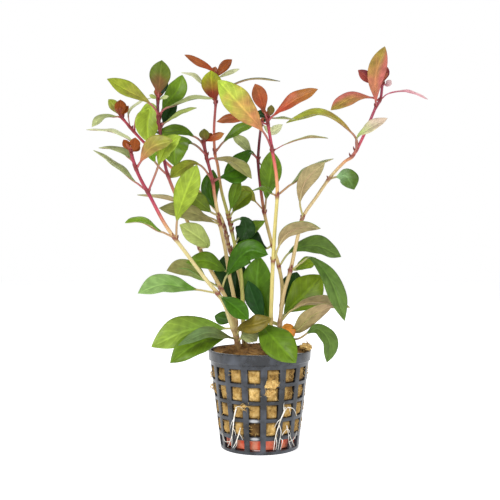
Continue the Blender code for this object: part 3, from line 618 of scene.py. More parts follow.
def grow_tubes(name, runs, sides):
    """Closed round tubes, each along a path in mm and thick as its radii say, as one mesh."""
    curve = bpy.data.curves.new(name, "CURVE")
    curve.dimensions = "3D"
    curve.bevel_depth = MM
    curve.bevel_resolution = sides
    curve.use_fill_caps = True
    for path, radii in runs:
        spline = curve.splines.new("POLY")
        spline.points.add(len(path) - 1)
        for knot, point, radius in zip(spline.points, path, radii):
            knot.co = (*(point * MM), 1)
            knot.radius = radius
    guide = bpy.data.objects.new(name, curve)
    bpy.context.scene.collection.objects.link(guide)
    select_only(guide)
    bpy.ops.object.convert(target="MESH")
    tubes = bpy.context.active_object
    tidy_mesh(tubes)
    tubes.data.shade_smooth()
    return tubes


def join_pieces(name, pieces):
    """Join meshes into one piece, in the order given."""
    bpy.ops.object.select_all(action="DESELECT")
    for piece in pieces:
        piece.select_set(True)
    bpy.context.view_layer.objects.active = pieces[0]
    if len(pieces) > 1:
        bpy.ops.object.join()
    pieces[0].name = name
    pieces[0].data.name = name
    return pieces[0]


def round_place(angle, radius, height):
    """A point in mm by its angle from the front, in radians, towards the right."""
    return Vector((radius * math.sin(angle), -radius * math.cos(angle), height))


def fibre(chance, start, outward, length, radius):
    """One bent fibre that starts in the wool and curls along its surface."""
    heading = chance.uniform(0, math.tau)
    upward = Vector((0, 0, 1)) if abs(outward.z) < 0.5 else Vector((0, 1, 0))
    sideways = outward.cross(upward).normalized()
    lean = sideways * math.cos(heading) + outward.cross(sideways) * math.sin(heading)
    bend = outward.cross(lean) * chance.uniform(-FIBRE_BEND, FIBRE_BEND)
    rise = chance.uniform(*FIBRE_RISE)
    path = []
    for step in range(FIBRE_POINTS):
        t = step / (FIBRE_POINTS - 1)
        lift = outward * length * rise * math.sin(FIBRE_ARC * t)
        path.append(start + (lean + bend * t) * length * t + lift)
    return path, [radius] * (FIBRE_POINTS - 1) + [radius * FIBRE_END]


def window_fibres(chance):
    """Loose fibres on the wool in each window, apart from the lowest row's."""
    runs = []
    for column in range(COLUMNS):
        middle = FIRST_WINDOW + column * math.tau / COLUMNS
        for low, high in WINDOW_ROWS[1:]:
            for _ in range(FIBRES_PER_WINDOW):
                height = chance.uniform(low + FIBRE_MARGIN, high - FIBRE_MARGIN)
                angle = middle + chance.uniform(-FIBRE_SPREAD, FIBRE_SPREAD)
                outward = round_place(angle, 1, 0)
                start = round_place(angle, wall_radius(height) - FIBRE_DEPTH, height)
                length = chance.uniform(*FIBRE_LENGTHS)
                runs.append(fibre(chance, start, outward, length, FIBRE_RADIUS))
    return runs


def make_tuft(chance, angle, radius, height, spread_round, spread_out, spread_up):
    """A lump of wool that has been pulled out, and the fibres that stand on it."""
    angle = math.radians(angle)
    centre = round_place(angle, radius, height)
    outward = round_place(angle, 1, 0)
    sideways = round_place(angle + math.pi / 2, 1, 0)

    def spread(way):
        flat = sideways * way.x * spread_round + outward * way.y * spread_out
        return flat + Vector((0, 0, way.z * spread_up))

    bpy.ops.object.select_all(action="DESELECT")
    bpy.ops.mesh.primitive_ico_sphere_add(subdivisions=4, radius=1)
    tuft = bpy.context.active_object
    for vertex in tuft.data.vertices:
        way = vertex.co.copy()
        size = TUFT_SIZE + TUFT_UNEVEN * noise.fractal(way * TUFT_LUMPS + centre, *TUFT_FRACTAL)
        vertex.co = (centre + spread(way) * size) * MM
    tuft.data.shade_smooth()
    tidy_mesh(tuft)
    runs = []
    for _ in range(TUFT_FIBRES):
        way = Vector([chance.gauss(0, 1) for _ in range(3)]).normalized()
        start = centre + spread(way) * TUFT_FIBRE_ROOTS
        outside = (sideways * way.x + outward * abs(way.y) + Vector((0, 0, way.z))).normalized()
        length = chance.uniform(*TUFT_FIBRE_LENGTHS)
        runs.append(fibre(chance, start, outside, length, FIBRE_RADIUS * TUFT_FIBRE_THICKNESS))
    return tuft, runs


def top_litter(chance):
    """Short dead roots that lie on the wool's top."""
    runs = []
    for _ in range(LITTER_COUNT):
        radius = WOOL_RIM_RADIUS * math.sqrt(chance.uniform(0, LITTER_REACH))
        height = crown_height(radius / WOOL_RIM_RADIUS) - LITTER_DEPTH
        start = round_place(chance.uniform(0, math.tau), radius, height)
        length = chance.uniform(*LITTER_LENGTHS)
        if start.xy.length + length < WOOL_RIM_RADIUS + LITTER_OVERHANG:
            thickness = LITTER_RADIUS * chance.uniform(*LITTER_THICKNESSES)
            runs.append(fibre(chance, start, Vector((0, 0, 1)), length, thickness))
    return runs


chance = random.Random("fibres")
fibre_runs = window_fibres(chance)
tufts = []
for tuft_sizes in TUFTS:
    tuft, tuft_runs = make_tuft(chance, *tuft_sizes)
    tufts.append(tuft)
    fibre_runs += tuft_runs
fibres = grow_tubes("loose_fibres", fibre_runs, 0)
litter = grow_tubes("litter", top_litter(chance), 0)

# Loose rock fibre is golden and matt, in tangles about a millimetre wide. Dead root and peat
# are brown, duller and rougher.
loose_fibre = patchy_material(
    "loose rock fibre", roughness=0.8, patch_width=0.8, detail=2,
    tones=[(0.35, "B88A42"), (0.62, "EACB82")], bump_strength=0.4, bump_depth=0.1)
dead_root = patchy_material(
    "dead root and peat", roughness=0.85, patch_width=2, detail=3,
    tones=[(0.4, "3A2412"), (0.6, "8A6434")], bump_strength=0.5, bump_depth=0.2)

paint(wool, "shade", wool_shade)
dress(wool, wool_skin)
for tuft in tufts:
    dress(tuft, loose_fibre)
dress(fibres, loose_fibre)
dress(litter, dead_root)
wool = join_pieces("wool_plug", [wool, *tufts, fibres, litter])
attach(wool, "root")
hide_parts("rockwool_plug")


# Stems
# Eight cut stems set in the wool. They are round and smooth, straw green low down, where they
# grew first, and turn red and then wine towards the tips. Each joint carries a pair of leaves.
# Radii in mm at the pot's rim and at the height STEM_TOP, the spacing of points along a stem, and
# how much each joint swells and over what length
STEM_BASE_RADIUS = 1.08
STEM_TIP_RADIUS = 0.62
STEM_TOP = 200
STEM_STEP = 1.2
STEM_SIDES = 4
STEM_END = 0.6
JOINT_SWELL = 0.3
JOINT_LENGTH = 1.1
# How red the joints are above and below the lowest bud, and how brown the stems' feet are, up to
# a height in mm and fading over the last few
JOINT_REDNESS = (0.95, 0.5)
JOINT_COLOUR = "74201C"
FOOT_COLOUR = "8A5824"
FOOT_TOP = 63
FOOT_FADE = 14
FOOT_SHARE = 0.7
# Buds in the angles of the leaves: their length and radius in mm, the shape of one as shares of
# these, how far from the stem's middle it starts, how far it leans out, and the lowest's height
BUD_LENGTH = 2.2
BUD_LENGTHS = (0.6, 1.1)
BUD_RADIUS = 0.5
BUD_SHAPE = [(0, 0.7), (0.3, 1), (0.6, 0.8), (0.85, 0.4), (1, 0.1)]
BUD_FOOT = 0.5
BUD_LEAN = 0.9
BUD_CURVE = 0.7
BUD_LOWEST = 68

# Each stem's middle line in mm, from inside the wool to its tip
STEMS = {
    "a": [
        (-9, -6, 37), (-11.5, -7, 53.5), (-14.5, -9, 63), (-18.5, -11, 74), (-27, -13.5, 85),
        (-36.5, -16, 98), (-45.5, -18.5, 110.5), (-52.5, -21.5, 124), (-56.5, -23, 131.5),
        (-59, -24.5, 137.5), (-61, -26, 144.5)],
    "b": [
        (-8, -1, 37), (-12, -1.5, 58.5), (-16, -2.5, 72), (-19.5, -2.5, 79.5), (-27.5, -3.5, 94),
        (-32.5, -4, 105), (-40, -5, 121.5), (-46, -6, 136.5), (-48.5, -6.5, 149.5),
        (-50.5, -7.5, 166.5), (-50.5, -8, 174)],
    "c": [
        (-7, 11, 37), (-8.5, 10.5, 57.5), (-8.5, 11, 71.5), (-9.5, 11, 81), (-11.5, 11.5, 89),
        (-15.5, 12, 99), (-19, 12.5, 113.5), (-23.5, 12.5, 121), (-32.5, 13, 130.5), (-48, 13, 144),
        (-60, 13.5, 155), (-67, 14, 162.5), (-73, 14, 169.5)],
    "d": [
        (-12, 6, 37), (-12, 5, 58), (-13, 4.5, 73.5), (-15.5, 4, 86), (-17.5, 3.5, 99),
        (-20.5, 3.5, 113), (-23, 3, 127), (-24, 2.5, 134.5), (-27, 2.5, 146), (-28.5, 2, 155)],
    "e": [
        (-6, 4, 37), (-8, 3.5, 58), (-9, 6.5, 78.5), (-10, 8, 89.5), (-12.5, 9.5, 100.5),
        (-16.5, 12, 117.5), (-20, 14, 130.5), (-22, 15.5, 144), (-23.5, 16.5, 150.5), (-24, 18.5, 164),
        (-23, 21, 182), (-23.5, 22, 191.5)],
    "f": [
        (6, -5, 37), (5.5, -5, 59), (6, -6.5, 79), (6.5, -8, 93), (7.5, -9.5, 111),
        (8.5, -10.5, 125.5), (8, -11.5, 135.5), (6, -12.5, 147.5), (4, -13.5, 159.5), (3.5, -14, 163.5)],
    "g": [
        (10, 8, 37), (10.5, 9, 57.5), (12, 12.5, 78), (10, 14.5, 91.5), (6.5, 16, 103), (2.5, 19, 120),
        (0, 21.5, 139.5), (-0.5, 23, 149), (0.5, 25, 161.5), (1.5, 26, 168)],
    "h": [
        (10.5, -1, 37), (10, -1, 58.5), (12, -1.5, 76), (15.5, -1.5, 88.5), (19.5, -2, 107),
        (22, -2.5, 116), (28.5, -2.5, 125.5), (35.5, -3, 135.5), (42.5, -3, 143), (47, -3, 146.5),
        (52.5, -3.5, 157), (58, -3.5, 170), (60.5, -4, 174.5), (61.5, -4, 183)],
}
# The heights between which each stem turns red, and its colours from the pot to its tip
REDDENING = {
    "a": (104, 130), "b": (120, 152), "c": (136, 156), "d": (122, 148),
    "e": (126, 172), "f": (124, 150), "g": (114, 150), "h": (138, 162),
}
STEM_COLOURS = {
    "a": ["CEBE82", "CC9468", "C04A58", "A02848", "98243C"],
    "b": ["C0A86C", "B87A58", "9A384A", "701C34", "5C1828"],
    "c": ["C4AE74", "CC8868", "D05A60", "C44058", "A03040"],
    "d": ["CCB478", "C88060", "AC4848", "8C2C38", "802430"],
    "e": ["B4B05C", "CC9868", "C87858", "C06858", "9C4040"],
    "f": ["D0C070", "DE9C6C", "D87C60", "CC5458", "B03A50"],
    "g": ["C8B070", "B87850", "8C3038", "701C30", "641C2C"],
    "h": ["CAB07C", "CC8C5C", "C04C58", "B03450", "96304A"],
}
# Heights where short rooting joints stand close together
CLOSE_JOINTS = {"c": [99, 102, 105, 108, 111], "e": [109, 112]}


def painted_material(name, roughness, pattern_width, stretch, pattern_range, gains, bump_strength):
    """A skin with the tint that is painted on it, darker and lighter along a soft pattern."""
    material, tree, shader = new_material(name, roughness)
    place = add_node(tree, "ShaderNodeTexCoord").outputs["Object"]
    stretched = add_node(tree, "ShaderNodeMapping", {"Vector": place, "Scale": stretch})
    pattern = add_node(tree, "ShaderNodeTexNoise", {
        "Vector": stretched.outputs["Vector"], "Scale": 1 / (pattern_width * MM),
        "Detail": 3}).outputs["Fac"]
    painted = add_node(tree, "ShaderNodeVertexColor", layer_name="tint")
    gain = add_node(tree, "ShaderNodeMapRange", {
        "Value": pattern, "From Min": pattern_range[0], "From Max": pattern_range[1],
        "To Min": gains[0], "To Max": gains[1]})
    colour = add_node(tree, "ShaderNodeVectorMath", {
        0: painted.outputs["Color"], "Scale": gain.outputs["Result"]}, operation="SCALE")
    relief = add_node(tree, "ShaderNodeBump", {
        "Height": pattern, "Strength": bump_strength, "Distance": 0.1 * MM})
    tree.links.new(colour.outputs["Vector"], shader.inputs["Base Color"])
    tree.links.new(relief.outputs["Normal"], shader.inputs["Normal"])
    return material


# The skin of a soft green stem: smooth and waxy, with fine lengthwise streaks, and painted from
# straw to wine. The streaks are drawn a few times wider than real ones, so that they show.
stem_skin = painted_material(
    "stem skin", roughness=0.38, pattern_width=0.5, stretch=(1, 1, 0.12),
    pattern_range=(0.3, 0.7), gains=(0.82, 1.14), bump_strength=0.3)


def mix(first, second, share):
    """A colour part of the way from one colour to another."""
    return [a + (b - a) * share for a, b in zip(first, second)]


def ramp(colours, share):
    """A colour part of the way along a list of hex colours."""
    place = min(1, max(0, share)) * (len(colours) - 1)
    index = min(int(place), len(colours) - 2)
    return mix(linear(colours[index]), linear(colours[index + 1]), place - index)


def make_buds(stem_name, path, joints):
    """Small pointed buds in pairs that stand in the angles between a stem and its leaves."""
    chance = random.Random("buds_" + stem_name)
    runs = []
    for joint in joints:
        centre = min(path, key=lambda point: abs(point.z - joint))
        turn = chance.uniform(0, math.tau)
        if joint < BUD_LOWEST:
            continue
        for side in (0, math.pi):
            out = Vector((math.cos(turn + side), math.sin(turn + side), 0))
            length = BUD_LENGTH * chance.uniform(*BUD_LENGTHS)
            bud_path = []
            for share, thickness in BUD_SHAPE:
                lean = out * (BUD_FOOT + BUD_LEAN * share ** BUD_CURVE)
                bud_path.append(centre + lean + Vector((0, 0, length * share)))
            runs.append((bud_path, [BUD_RADIUS * thickness for share, thickness in BUD_SHAPE]))
    return grow_tubes("buds_" + stem_name, runs, 1)


def make_stem(stem_name, path, joints):
    """A stem's tube, thicker at its joints, with the buds at its joints, both painted."""
    red_from, red_to = REDDENING[stem_name]

    def joint_share(height):
        return min(1, max(math.exp(-((height - joint) / JOINT_LENGTH) ** 2) for joint in joints))

    def stem_tint(spot):
        colour = ramp(STEM_COLOURS[stem_name], (spot.z - red_from) / (red_to - red_from))
        redness = JOINT_REDNESS[0] if spot.z > BUD_LOWEST else JOINT_REDNESS[1]
        brownness = FOOT_SHARE * smooth_step((FOOT_TOP - spot.z) / FOOT_FADE)
        colour = mix(colour, linear(FOOT_COLOUR), brownness)
        return mix(colour, linear(JOINT_COLOUR), redness * joint_share(spot.z))

    def bud_tint(spot):
        return linear(JOINT_COLOUR)

    radii = []
    for point in path:
        height_share = min(1, max(0, (point.z - RIM_HEIGHT) / (STEM_TOP - RIM_HEIGHT)))
        radius = STEM_BASE_RADIUS + (STEM_TIP_RADIUS - STEM_BASE_RADIUS) * height_share
        radii.append(radius * (1 + JOINT_SWELL * joint_share(point.z)))
    radii[-1] *= STEM_END
    stem = grow_tubes("stem_line_" + stem_name, [(path, radii)], STEM_SIDES)
    buds = make_buds(stem_name, path, joints)
    for piece, tint in ((stem, stem_tint), (buds, bud_tint)):
        paint(piece, "tint", tint)
        paint(piece, "under_tint", tint)
        dress(piece, stem_skin)
    return [stem, buds]


# Leaves
# Opposite leaves on short stalks, pointed at both ends, with sunken side veins and a rib that
# stands out below. One flat blade is moulded with its veins and then laid along each midrib.
# Large leaves are pieces of their own, and small ones stay joined to their stem.
BLADE_GRID = (42, 12)
SMALL_BLADE_GRID = (20, 6)
SMALL_LENGTH = 14
# The side veins: how many pairs, how far they sweep forwards and how curved they are; then how
# far the skin swells between them in mm, and how deep and wide the groove over the rib is
VEIN_PAIRS = 7
VEIN_SWEEP = 0.3
VEIN_CURVE = 0.8
QUILTING = 0.3
RIB_GROOVE = 0.22
RIB_GROOVE_WIDTH = 0.12
# The width in mm of a blade whose veins are at their full depth, and of one with a full stalk
DEEP_VEIN_WIDTH = 10
FULL_STALK_WIDTH = 8
BLADE_THICKNESS = 0.28
BLADE_MERGE = 0.02
# A blade's outline: where it is widest, and how drawn out its base and how sharp its tip is
WIDEST_POINT = 0.5
BASE_TAPER = 2.9
TIP_SHARPNESS = 1.95
# How each blade is folded along its midrib in degrees, waved along its edges and curled
FOLD_ANGLES = (7, 16)
WAVE_COUNTS = (1.5, 2.6)
WAVE_HEIGHTS = (0.05, 0.11)
WAVE_LAG = 1.3
CURLS = (-0.05, 0.12)
# The stalk: the share of it with no blade, its half width where it spreads into the blade and
# the share of the blade where it does, its radii, how far the rib runs out in the blade and how
# soon it sinks into it; then its colours low down and high up, how many mm early it reddens, and
# how soon it takes the blade's colour
BARE_STALK = 0.72
STALK_HALF_WIDTH = 0.45
STALK_SPREAD = 0.3
STALK_RADIUS = 0.55
RIB_TIP_RADIUS = 0.08
RIB_REACH = 0.9
RIB_SINK_RATE = 6
RIB_STEP = 1.2
PATH_STEP = 0.5
STALK_GREEN = "B4AC68"
STALK_RED = "A23A4A"
STALK_EARLY = 12
STALK_FADE = 1.6
# How light a blade is, and how its base colour gives way to its tip's: how fast, how late, how
# unevenly and in what patches in mm; then how strong a blush is and how sharp its edge
BRIGHTNESS = (0.92, 1.08)
CHANGE_RATE = 1.2
CHANGE_DELAY = 0.1
CHANGE_UNEVEN = 0.25
CHANGE_PATCH = 4
BLUSH_SHARE = 0.8
BLUSH_EDGE = 3
# The young leaves round each tip: how many, their lengths in mm, how wide they are and how far
# they lean out as shares of their length, their stalks, how uneven the ring is, how they curve,
# how deep they sit, how far up they face, and their colours on each stem
TIP_LEAFLETS = 5
LEAFLET_LENGTHS = (3, 5.5)
LEAFLET_WIDTH = 0.45
LEAFLET_SPREADS = (0.25, 0.75)
LEAFLET_STALK = 0.6
LEAFLET_TURN = 0.4
LEAFLET_CURVE = 1.5
LEAFLET_SINK = 1
LEAFLET_FACE_UP = 0.3
TIP_COLOURS = {
    "a": ["cinder", "rust", "bronze"], "b": ["dusk", "olive", "rust"], "c": ["rust", "cinder", "wine"],
    "d": ["bronze", "rust", "olive"], "e": ["rust", "cinder", "wine"], "f": ["bronze", "rust", "moss"],
    "g": ["dark", "bronze", "moss"], "h": ["wine", "rose", "rust"],
}

# The colour of a blade at its base and at its tip
LEAF_COLOURS = {
    "mid": ("4C6C14", "5F7C1C"), "deep": ("2E520A", "3C640C"), "fresh": ("608A1C", "789C2A"),
    "lime": ("849828", "90A634"), "lime2": ("66862A", "829C3A"), "pale": ("B0B684", "C4C89C"),
    "grey": ("84905A", "A2AA72"), "sage": ("84924A", "98A45A"), "olive": ("8A7C3C", "86922C"),
    "moss": ("526613", "637618"), "sun": ("5F7A17", "748C1D"), "tanleaf": ("8C8254", "888A50"),
    "amber": ("A8664E", "8E9038"), "yellow": ("B4744C", "9CB43C"), "gold": ("AC8448", "9AA438"),
    "bronze": ("6E4630", "5F5E1A"), "dusk": ("7A3E30", "56681C"), "copper": ("BA6658", "968038"),
    "flame": ("7A2E1A", "8A961E"), "rust": ("963A20", "90502A"), "coral": ("A8382A", "A06830"),
    "orange": ("DC9C40", "C47C2C"), "rose": ("B8687C", "C4A8A8"),
    "wine": ("7A2C2C", "8C4038"), "dark": ("142E0C", "1C3C10"), "teal": ("1D4417", "2A5823"),
    "blue": ("3C581C", "587230"), "mint": ("A1C45D", "C4B09A"), "mintgreen": ("A0C890", "4A6420"),
    "slate": ("5A5E30", "5C7444"), "frost": ("4F7A1C", "88AA62"), "glade": ("4A7016", "58801E"),
    "brown": ("6C601C", "746823"), "cinder": ("82400E", "7A3A08"),
}
UNDER_COLOURS = {
    "tan": ("A88E68", "988E64"), "grey": ("788862", "72845A"), "green": ("5A8428", "86804E"),
    "dusk": ("8E8A48", "A48C6C"), "young": ("7A3A28", "94503A"), "pink": ("A85C6C", "D0A4A8"),
}

# Leaf colours whose base runs further towards the tip, and ones that are redder on one half
LATE_CHANGES = {"yellow": 0.2, "flame": 0.22, "gold": 0.1}
BLUSHES = {"copper": "B45C5C", "wine": "6E2430"}

# Each large leaf: its stem, the line of its midrib in mm from the stem's middle to the leaf's
# tip, the length of its stalk and its width in mm, the way its upper side faces, and the names
# of its upper and under colours
LEAVES = {
    "a_low_left": (
        "a", [(-21, -12, 77.5), (-34, -14, 80), (-47, -17, 82), (-58.5, -21, 78)],
        12, 12, (0, -1, 1), "frost", "tan"),
    "a_low_right": (
        "a", [(-20.5, -11.5, 77), (-18.5, -13.5, 75.5), (-12, -15.5, 71), (-5.5, -17.5, 65)],
        2, 8.6, (0, -1, 0.4), "deep", "grey"),
    "a_mid_left": (
        "a", [(-41.5, -17.5, 104.5), (-49.5, -18.5, 108.5), (-56.5, -21.5, 112), (-64, -24.5, 111.5)],
        8, 9, (0, -0.4, 1), "fresh", "tan"),
    "a_mid_right": (
        "a", [(-40.5, -17.5, 104), (-39.5, -20.5, 114.5), (-35, -23.5, 127), (-30, -23.5, 139)],
        10, 11, (0, -1, 0.1), "lime", "tan"),
    "a_high_left": (
        "a", [(-54, -22, 126.5), (-60, -20, 131.5), (-70.5, -14, 140), (-82, -10, 148)],
        8, 7, (0, -0.1, 1), "grey", "tan"),
    "a_high_right": (
        "a", [(-53.5, -22, 126), (-49.5, -23, 135.5), (-46, -25, 144.5), (-42, -28, 148.5),
              (-37, -30, 151.5)],
        18, 9, (0, -1, 0.5), "lime", "tan"),
    "a_top_right": (
        "a", [(-58.5, -24.5, 137), (-55.5, -26.5, 141.5), (-50.5, -29.5, 146.5), (-40.5, -32.5, 149)],
        4, 9, (0, -1, 0.5), "amber", "tan"),
    "b_low_left": (
        "b", [(-19.5, -2.5, 79.5), (-27.5, -1.5, 84), (-37, 1.5, 89.5), (-47.5, 3.5, 88.5)],
        8, 10, (0, 1, 0.7), "mid", "green"),
    "b_low_right": (
        "b", [(-19, -2.5, 79.5), (-16, -4.5, 87), (-6.5, -7.5, 98), (4, -10.5, 96.5)],
        8, 12, (0, -1, 0.5), "deep", "grey"),
    "b_upper_left": (
        "b", [(-46, -6, 136), (-51, -4, 141), (-54, -3, 147), (-49, -2, 152.5), (-42.5, 0, 155)],
        12, 9, (0, -1, 0.4), "fresh", "tan"),
    "b_high_right": (
        "b", [(-50.5, -7.5, 165.5), (-45.5, -8.5, 169.5), (-33, -9.5, 173.5), (-23, -11.5, 173)],
        8, 7.5, (0, -0.5, 1), "grey", "grey"),
    "b_high_left": (
        "b", [(-50.5, -7.5, 165), (-51.5, -8.5, 168), (-55.5, -10.5, 172), (-65.5, -13.5, 177),
              (-74, -16.5, 181.5)],
        9, 9, (0, -0.9, 0.6), "olive", "tan"),
    "b_high_back": (
        "b", [(-50.5, -7.5, 163), (-47.5, -1.5, 172), (-42, 1.5, 180), (-39.5, 3.5, 188.5)],
        9, 9.5, (0, -1, 0.2), "mid", "grey"),
    "b_top": (
        "b", [(-50.5, -8, 174), (-50, -10, 176.5), (-49, -12, 183), (-48, -13, 191.5)],
        2, 10, (0, -1, 0), "dusk", "tan"),
    "c_hanging": (
        "c", [(-66, 14, 161.5), (-63.5, 11, 169.5), (-57, 8, 172), (-57.5, 5, 163), (-57, 4, 154)],
        14, 12, (0, -1, 0), "lime", "tan"),
    "c_low_right": (
        "c", [(-15, 12, 98), (-9.5, 13, 107.5), (-3.5, 14, 111), (3, 14, 114.5)],
        10, 9, (0, -0.7, 1), "mid", "grey"),
    "d_high_hanging": (
        "d", [(-27, 2.5, 147), (-32, -1.5, 151.5), (-37.5, -6.5, 153), (-41.5, -12.5, 149),
              (-41.5, -14.5, 139.5)],
        13, 12, (0, -1, 0.4), "mid", "grey"),
    "d_high_right": (
        "d", [(-26.5, 2.5, 144.5), (-23, 0.5, 145.5), (-12.5, -2.5, 142.5), (-4, -5.5, 134.5)],
        4, 8, (0, -0.7, 1), "tanleaf", "tan"),
    "d_mid_left": (
        "d", [(-24, 2.5, 134), (-28.5, 1.5, 140.5), (-33, 0.5, 143), (-39, -1.5, 140), (-45, -3.5, 135)],
        14, 8, (0, -0.9, 0.7), "olive", "tan"),
    "d_mid_right": (
        "d", [(-24, 2.5, 133.5), (-19, 1.5, 136), (-12, 1.5, 136), (-5, 1.5, 137.5)],
        5, 9, (0, -0.9, 0.6), "deep", "grey"),
    "d_low_left": (
        "d", [(-20.5, 3.5, 112), (-24, -1.5, 113.5), (-34.5, -11.5, 117.5), (-49, -16.5, 119)],
        4, 10, (0, -0.9, 0.6), "tanleaf", "tan"),
    "e_top_front": (
        "e", [(-23, 20, 177), (-24, 17, 179), (-25, 15, 185.5), (-25.5, 14, 193.5)],
        3, 10.5, (0, -1, 0.1), "flame", "tan"),
    "e_high_right": (
        "e", [(-23.5, 16.5, 150.5), (-17.5, 14.5, 157.5), (-10, 13.5, 162.5), (-1, 11.5, 166.5)],
        9, 8, (0, -0.8, 0.8), "mid", "grey"),
    "f_tip_up": (
        "f", [(3.5, -14, 162.5), (1.5, -16, 167.5), (-0.5, -18, 173.5), (-2.5, -19, 178.5)],
        4, 7, (0, -1, 0), "rust", "tan"),
    "f_tip_right": (
        "f", [(4, -14, 161.5), (7, -16, 164.5), (16.5, -19, 170.5), (27.5, -21, 175.5)],
        4, 8.5, (0, -0.9, 0.7), "coral", "tan"),
    "f_big_left": (
        "f", [(5.5, -12.5, 148.5), (3, -16.5, 153.5), (-1.5, -20.5, 159), (-10.5, -25.5, 168),
              (-20, -28.5, 178)],
        12, 12.5, (0, -1, 0.2), "yellow", "tan"),
    "f_high_right": (
        "f", [(6, -12.5, 147), (15, -10.5, 152), (25, -8.5, 154.5), (34, -6.5, 154.5)],
        9, 4.5, (0, 0.05, 1), "grey", "tan"),
    "f_mid_right": (
        "f", [(8.5, -10.5, 125.5), (19, -4.5, 134.5), (28.5, 1.5, 141.5), (38, 5.5, 146)],
        12, 8, (0, -0.05, 1), "grey", "tan"),
    "f_low_right": (
        "f", [(7, -8, 93), (9, -10, 100), (12.5, -13, 106.5), (20.5, -16, 110), (29, -19, 109)],
        9, 9, (0, 0.7, 1), "mid", "tan"),
    "g_mid_right": (
        "g", [(3, 18.5, 119), (4, 16.5, 129), (6, 14.5, 140), (6.5, 13.5, 151.5)],
        8, 11, (0, -1, 0), "mid", "grey"),
    "g_low_right": (
        "g", [(10.5, 14.5, 90.5), (17, 16.5, 98.5), (30.5, 19.5, 101.5), (44, 21.5, 95.5)],
        10, 12, (0, -1, 0.8), "blue", "grey"),
    "h_low_right": (
        "h", [(15.5, -1.5, 88), (21, -3.5, 92.5), (26, -5.5, 94.5), (35, -10.5, 83.5), (41.5, -12.5, 64)],
        12, 10, (0.4, -1, 0.3), "blue", "grey"),
    "h_base_tan": (
        "h", [(10.5, -1, 62.5), (16.5, -3, 69), (26.5, -3, 73), (45.5, -2, 70)],
        10, 8, (0, 0.8, 0.8), "mid", "tan"),
    "h_base_olive": (
        "h", [(10.5, -1, 63), (14, 3, 68), (22.5, 6, 75.5), (32, 8, 86)],
        5, 16, (0, -1, 0.3), "sun", "grey"),
    "h_mid_up": (
        "h", [(22, -2.5, 114.5), (20, -5.5, 123.5), (23, -8.5, 133.5), (32, -10.5, 142)],
        10, 8, (0, 1, 0.2), "mid", "tan"),
    "h_mid_right": (
        "h", [(35, -3, 134.5), (39, -5, 135.5), (43, -8, 135), (46.5, -10, 128.5)],
        4, 9, (0, -1, 0.3), "mintgreen", "grey"),
    "h_high_left": (
        "h", [(47, -3, 146), (48.5, -5, 153.5), (40.5, -7, 162), (29, -7, 166.5), (13, -7, 162)],
        16, 9, (0, -0.6, 1), "gold", "tan"),
    "h_high_right": (
        "h", [(48.5, -3, 149), (48, -8, 154.5), (52, -11, 157.5), (62, -14, 163)],
        9, 7, (0, -1, 0.9), "mint", "grey"),
    "h_top_left": (
        "h", [(60, -4, 173.5), (55, -4, 175.5), (45.5, -6, 174.5), (35, -9, 168)],
        5, 8, (0, -0.9, 0.6), "copper", "tan"),
    "h_top_up": (
        "h", [(58.5, -3.5, 171), (57.5, -7.5, 174), (57, -10.5, 185), (61.5, -10.5, 199)],
        3, 8.5, (0, -1, 0), "copper", "tan"),
    "base_front": (
        "f", [(5.5, -5.5, 64), (1.5, -9.5, 62), (8, -21.5, 54.5), (16.5, -30.5, 46)],
        3, 15, (0, -1, 0.5), "mid", "grey"),
    "base_left_upper": (
        "a", [(-13, -8, 59), (-16, -9, 60), (-34.5, -11, 59.5), (-53, -14, 51.5)],
        4, 15, (0, -1, 0.7), "lime2", "tan"),
    "base_left_lower": (
        "a", [(-11.5, -7, 54.5), (-19.5, -18, 57), (-31, -26, 54), (-42, -31, 46)],
        9, 12, (0, -1, 0.7), "mid", "tan"),
    "base_brown": (
        "a", [(-11.5, -7.5, 56), (-9.5, -11.5, 60.5), (-3, -15.5, 62.5), (5.5, -16.5, 65.5)],
        3, 9, (0, -1, 0.6), "brown", "tan"),
    "base_right": (
        "h", [(10.5, -1, 56), (18.5, -7, 54.5), (28, -10, 60), (34, -13, 53.5), (32.5, -15, 44)],
        20, 9, (0.6, -1, 0.3), "blue", "tan"),
    "centre_big": (
        "g", [(10.5, 9.5, 60.5), (4.5, 12.5, 64), (-1, 16.5, 79.5), (0, 18.5, 96)],
        6, 15.5, (0, -1, 0), "glade", "grey"),
}
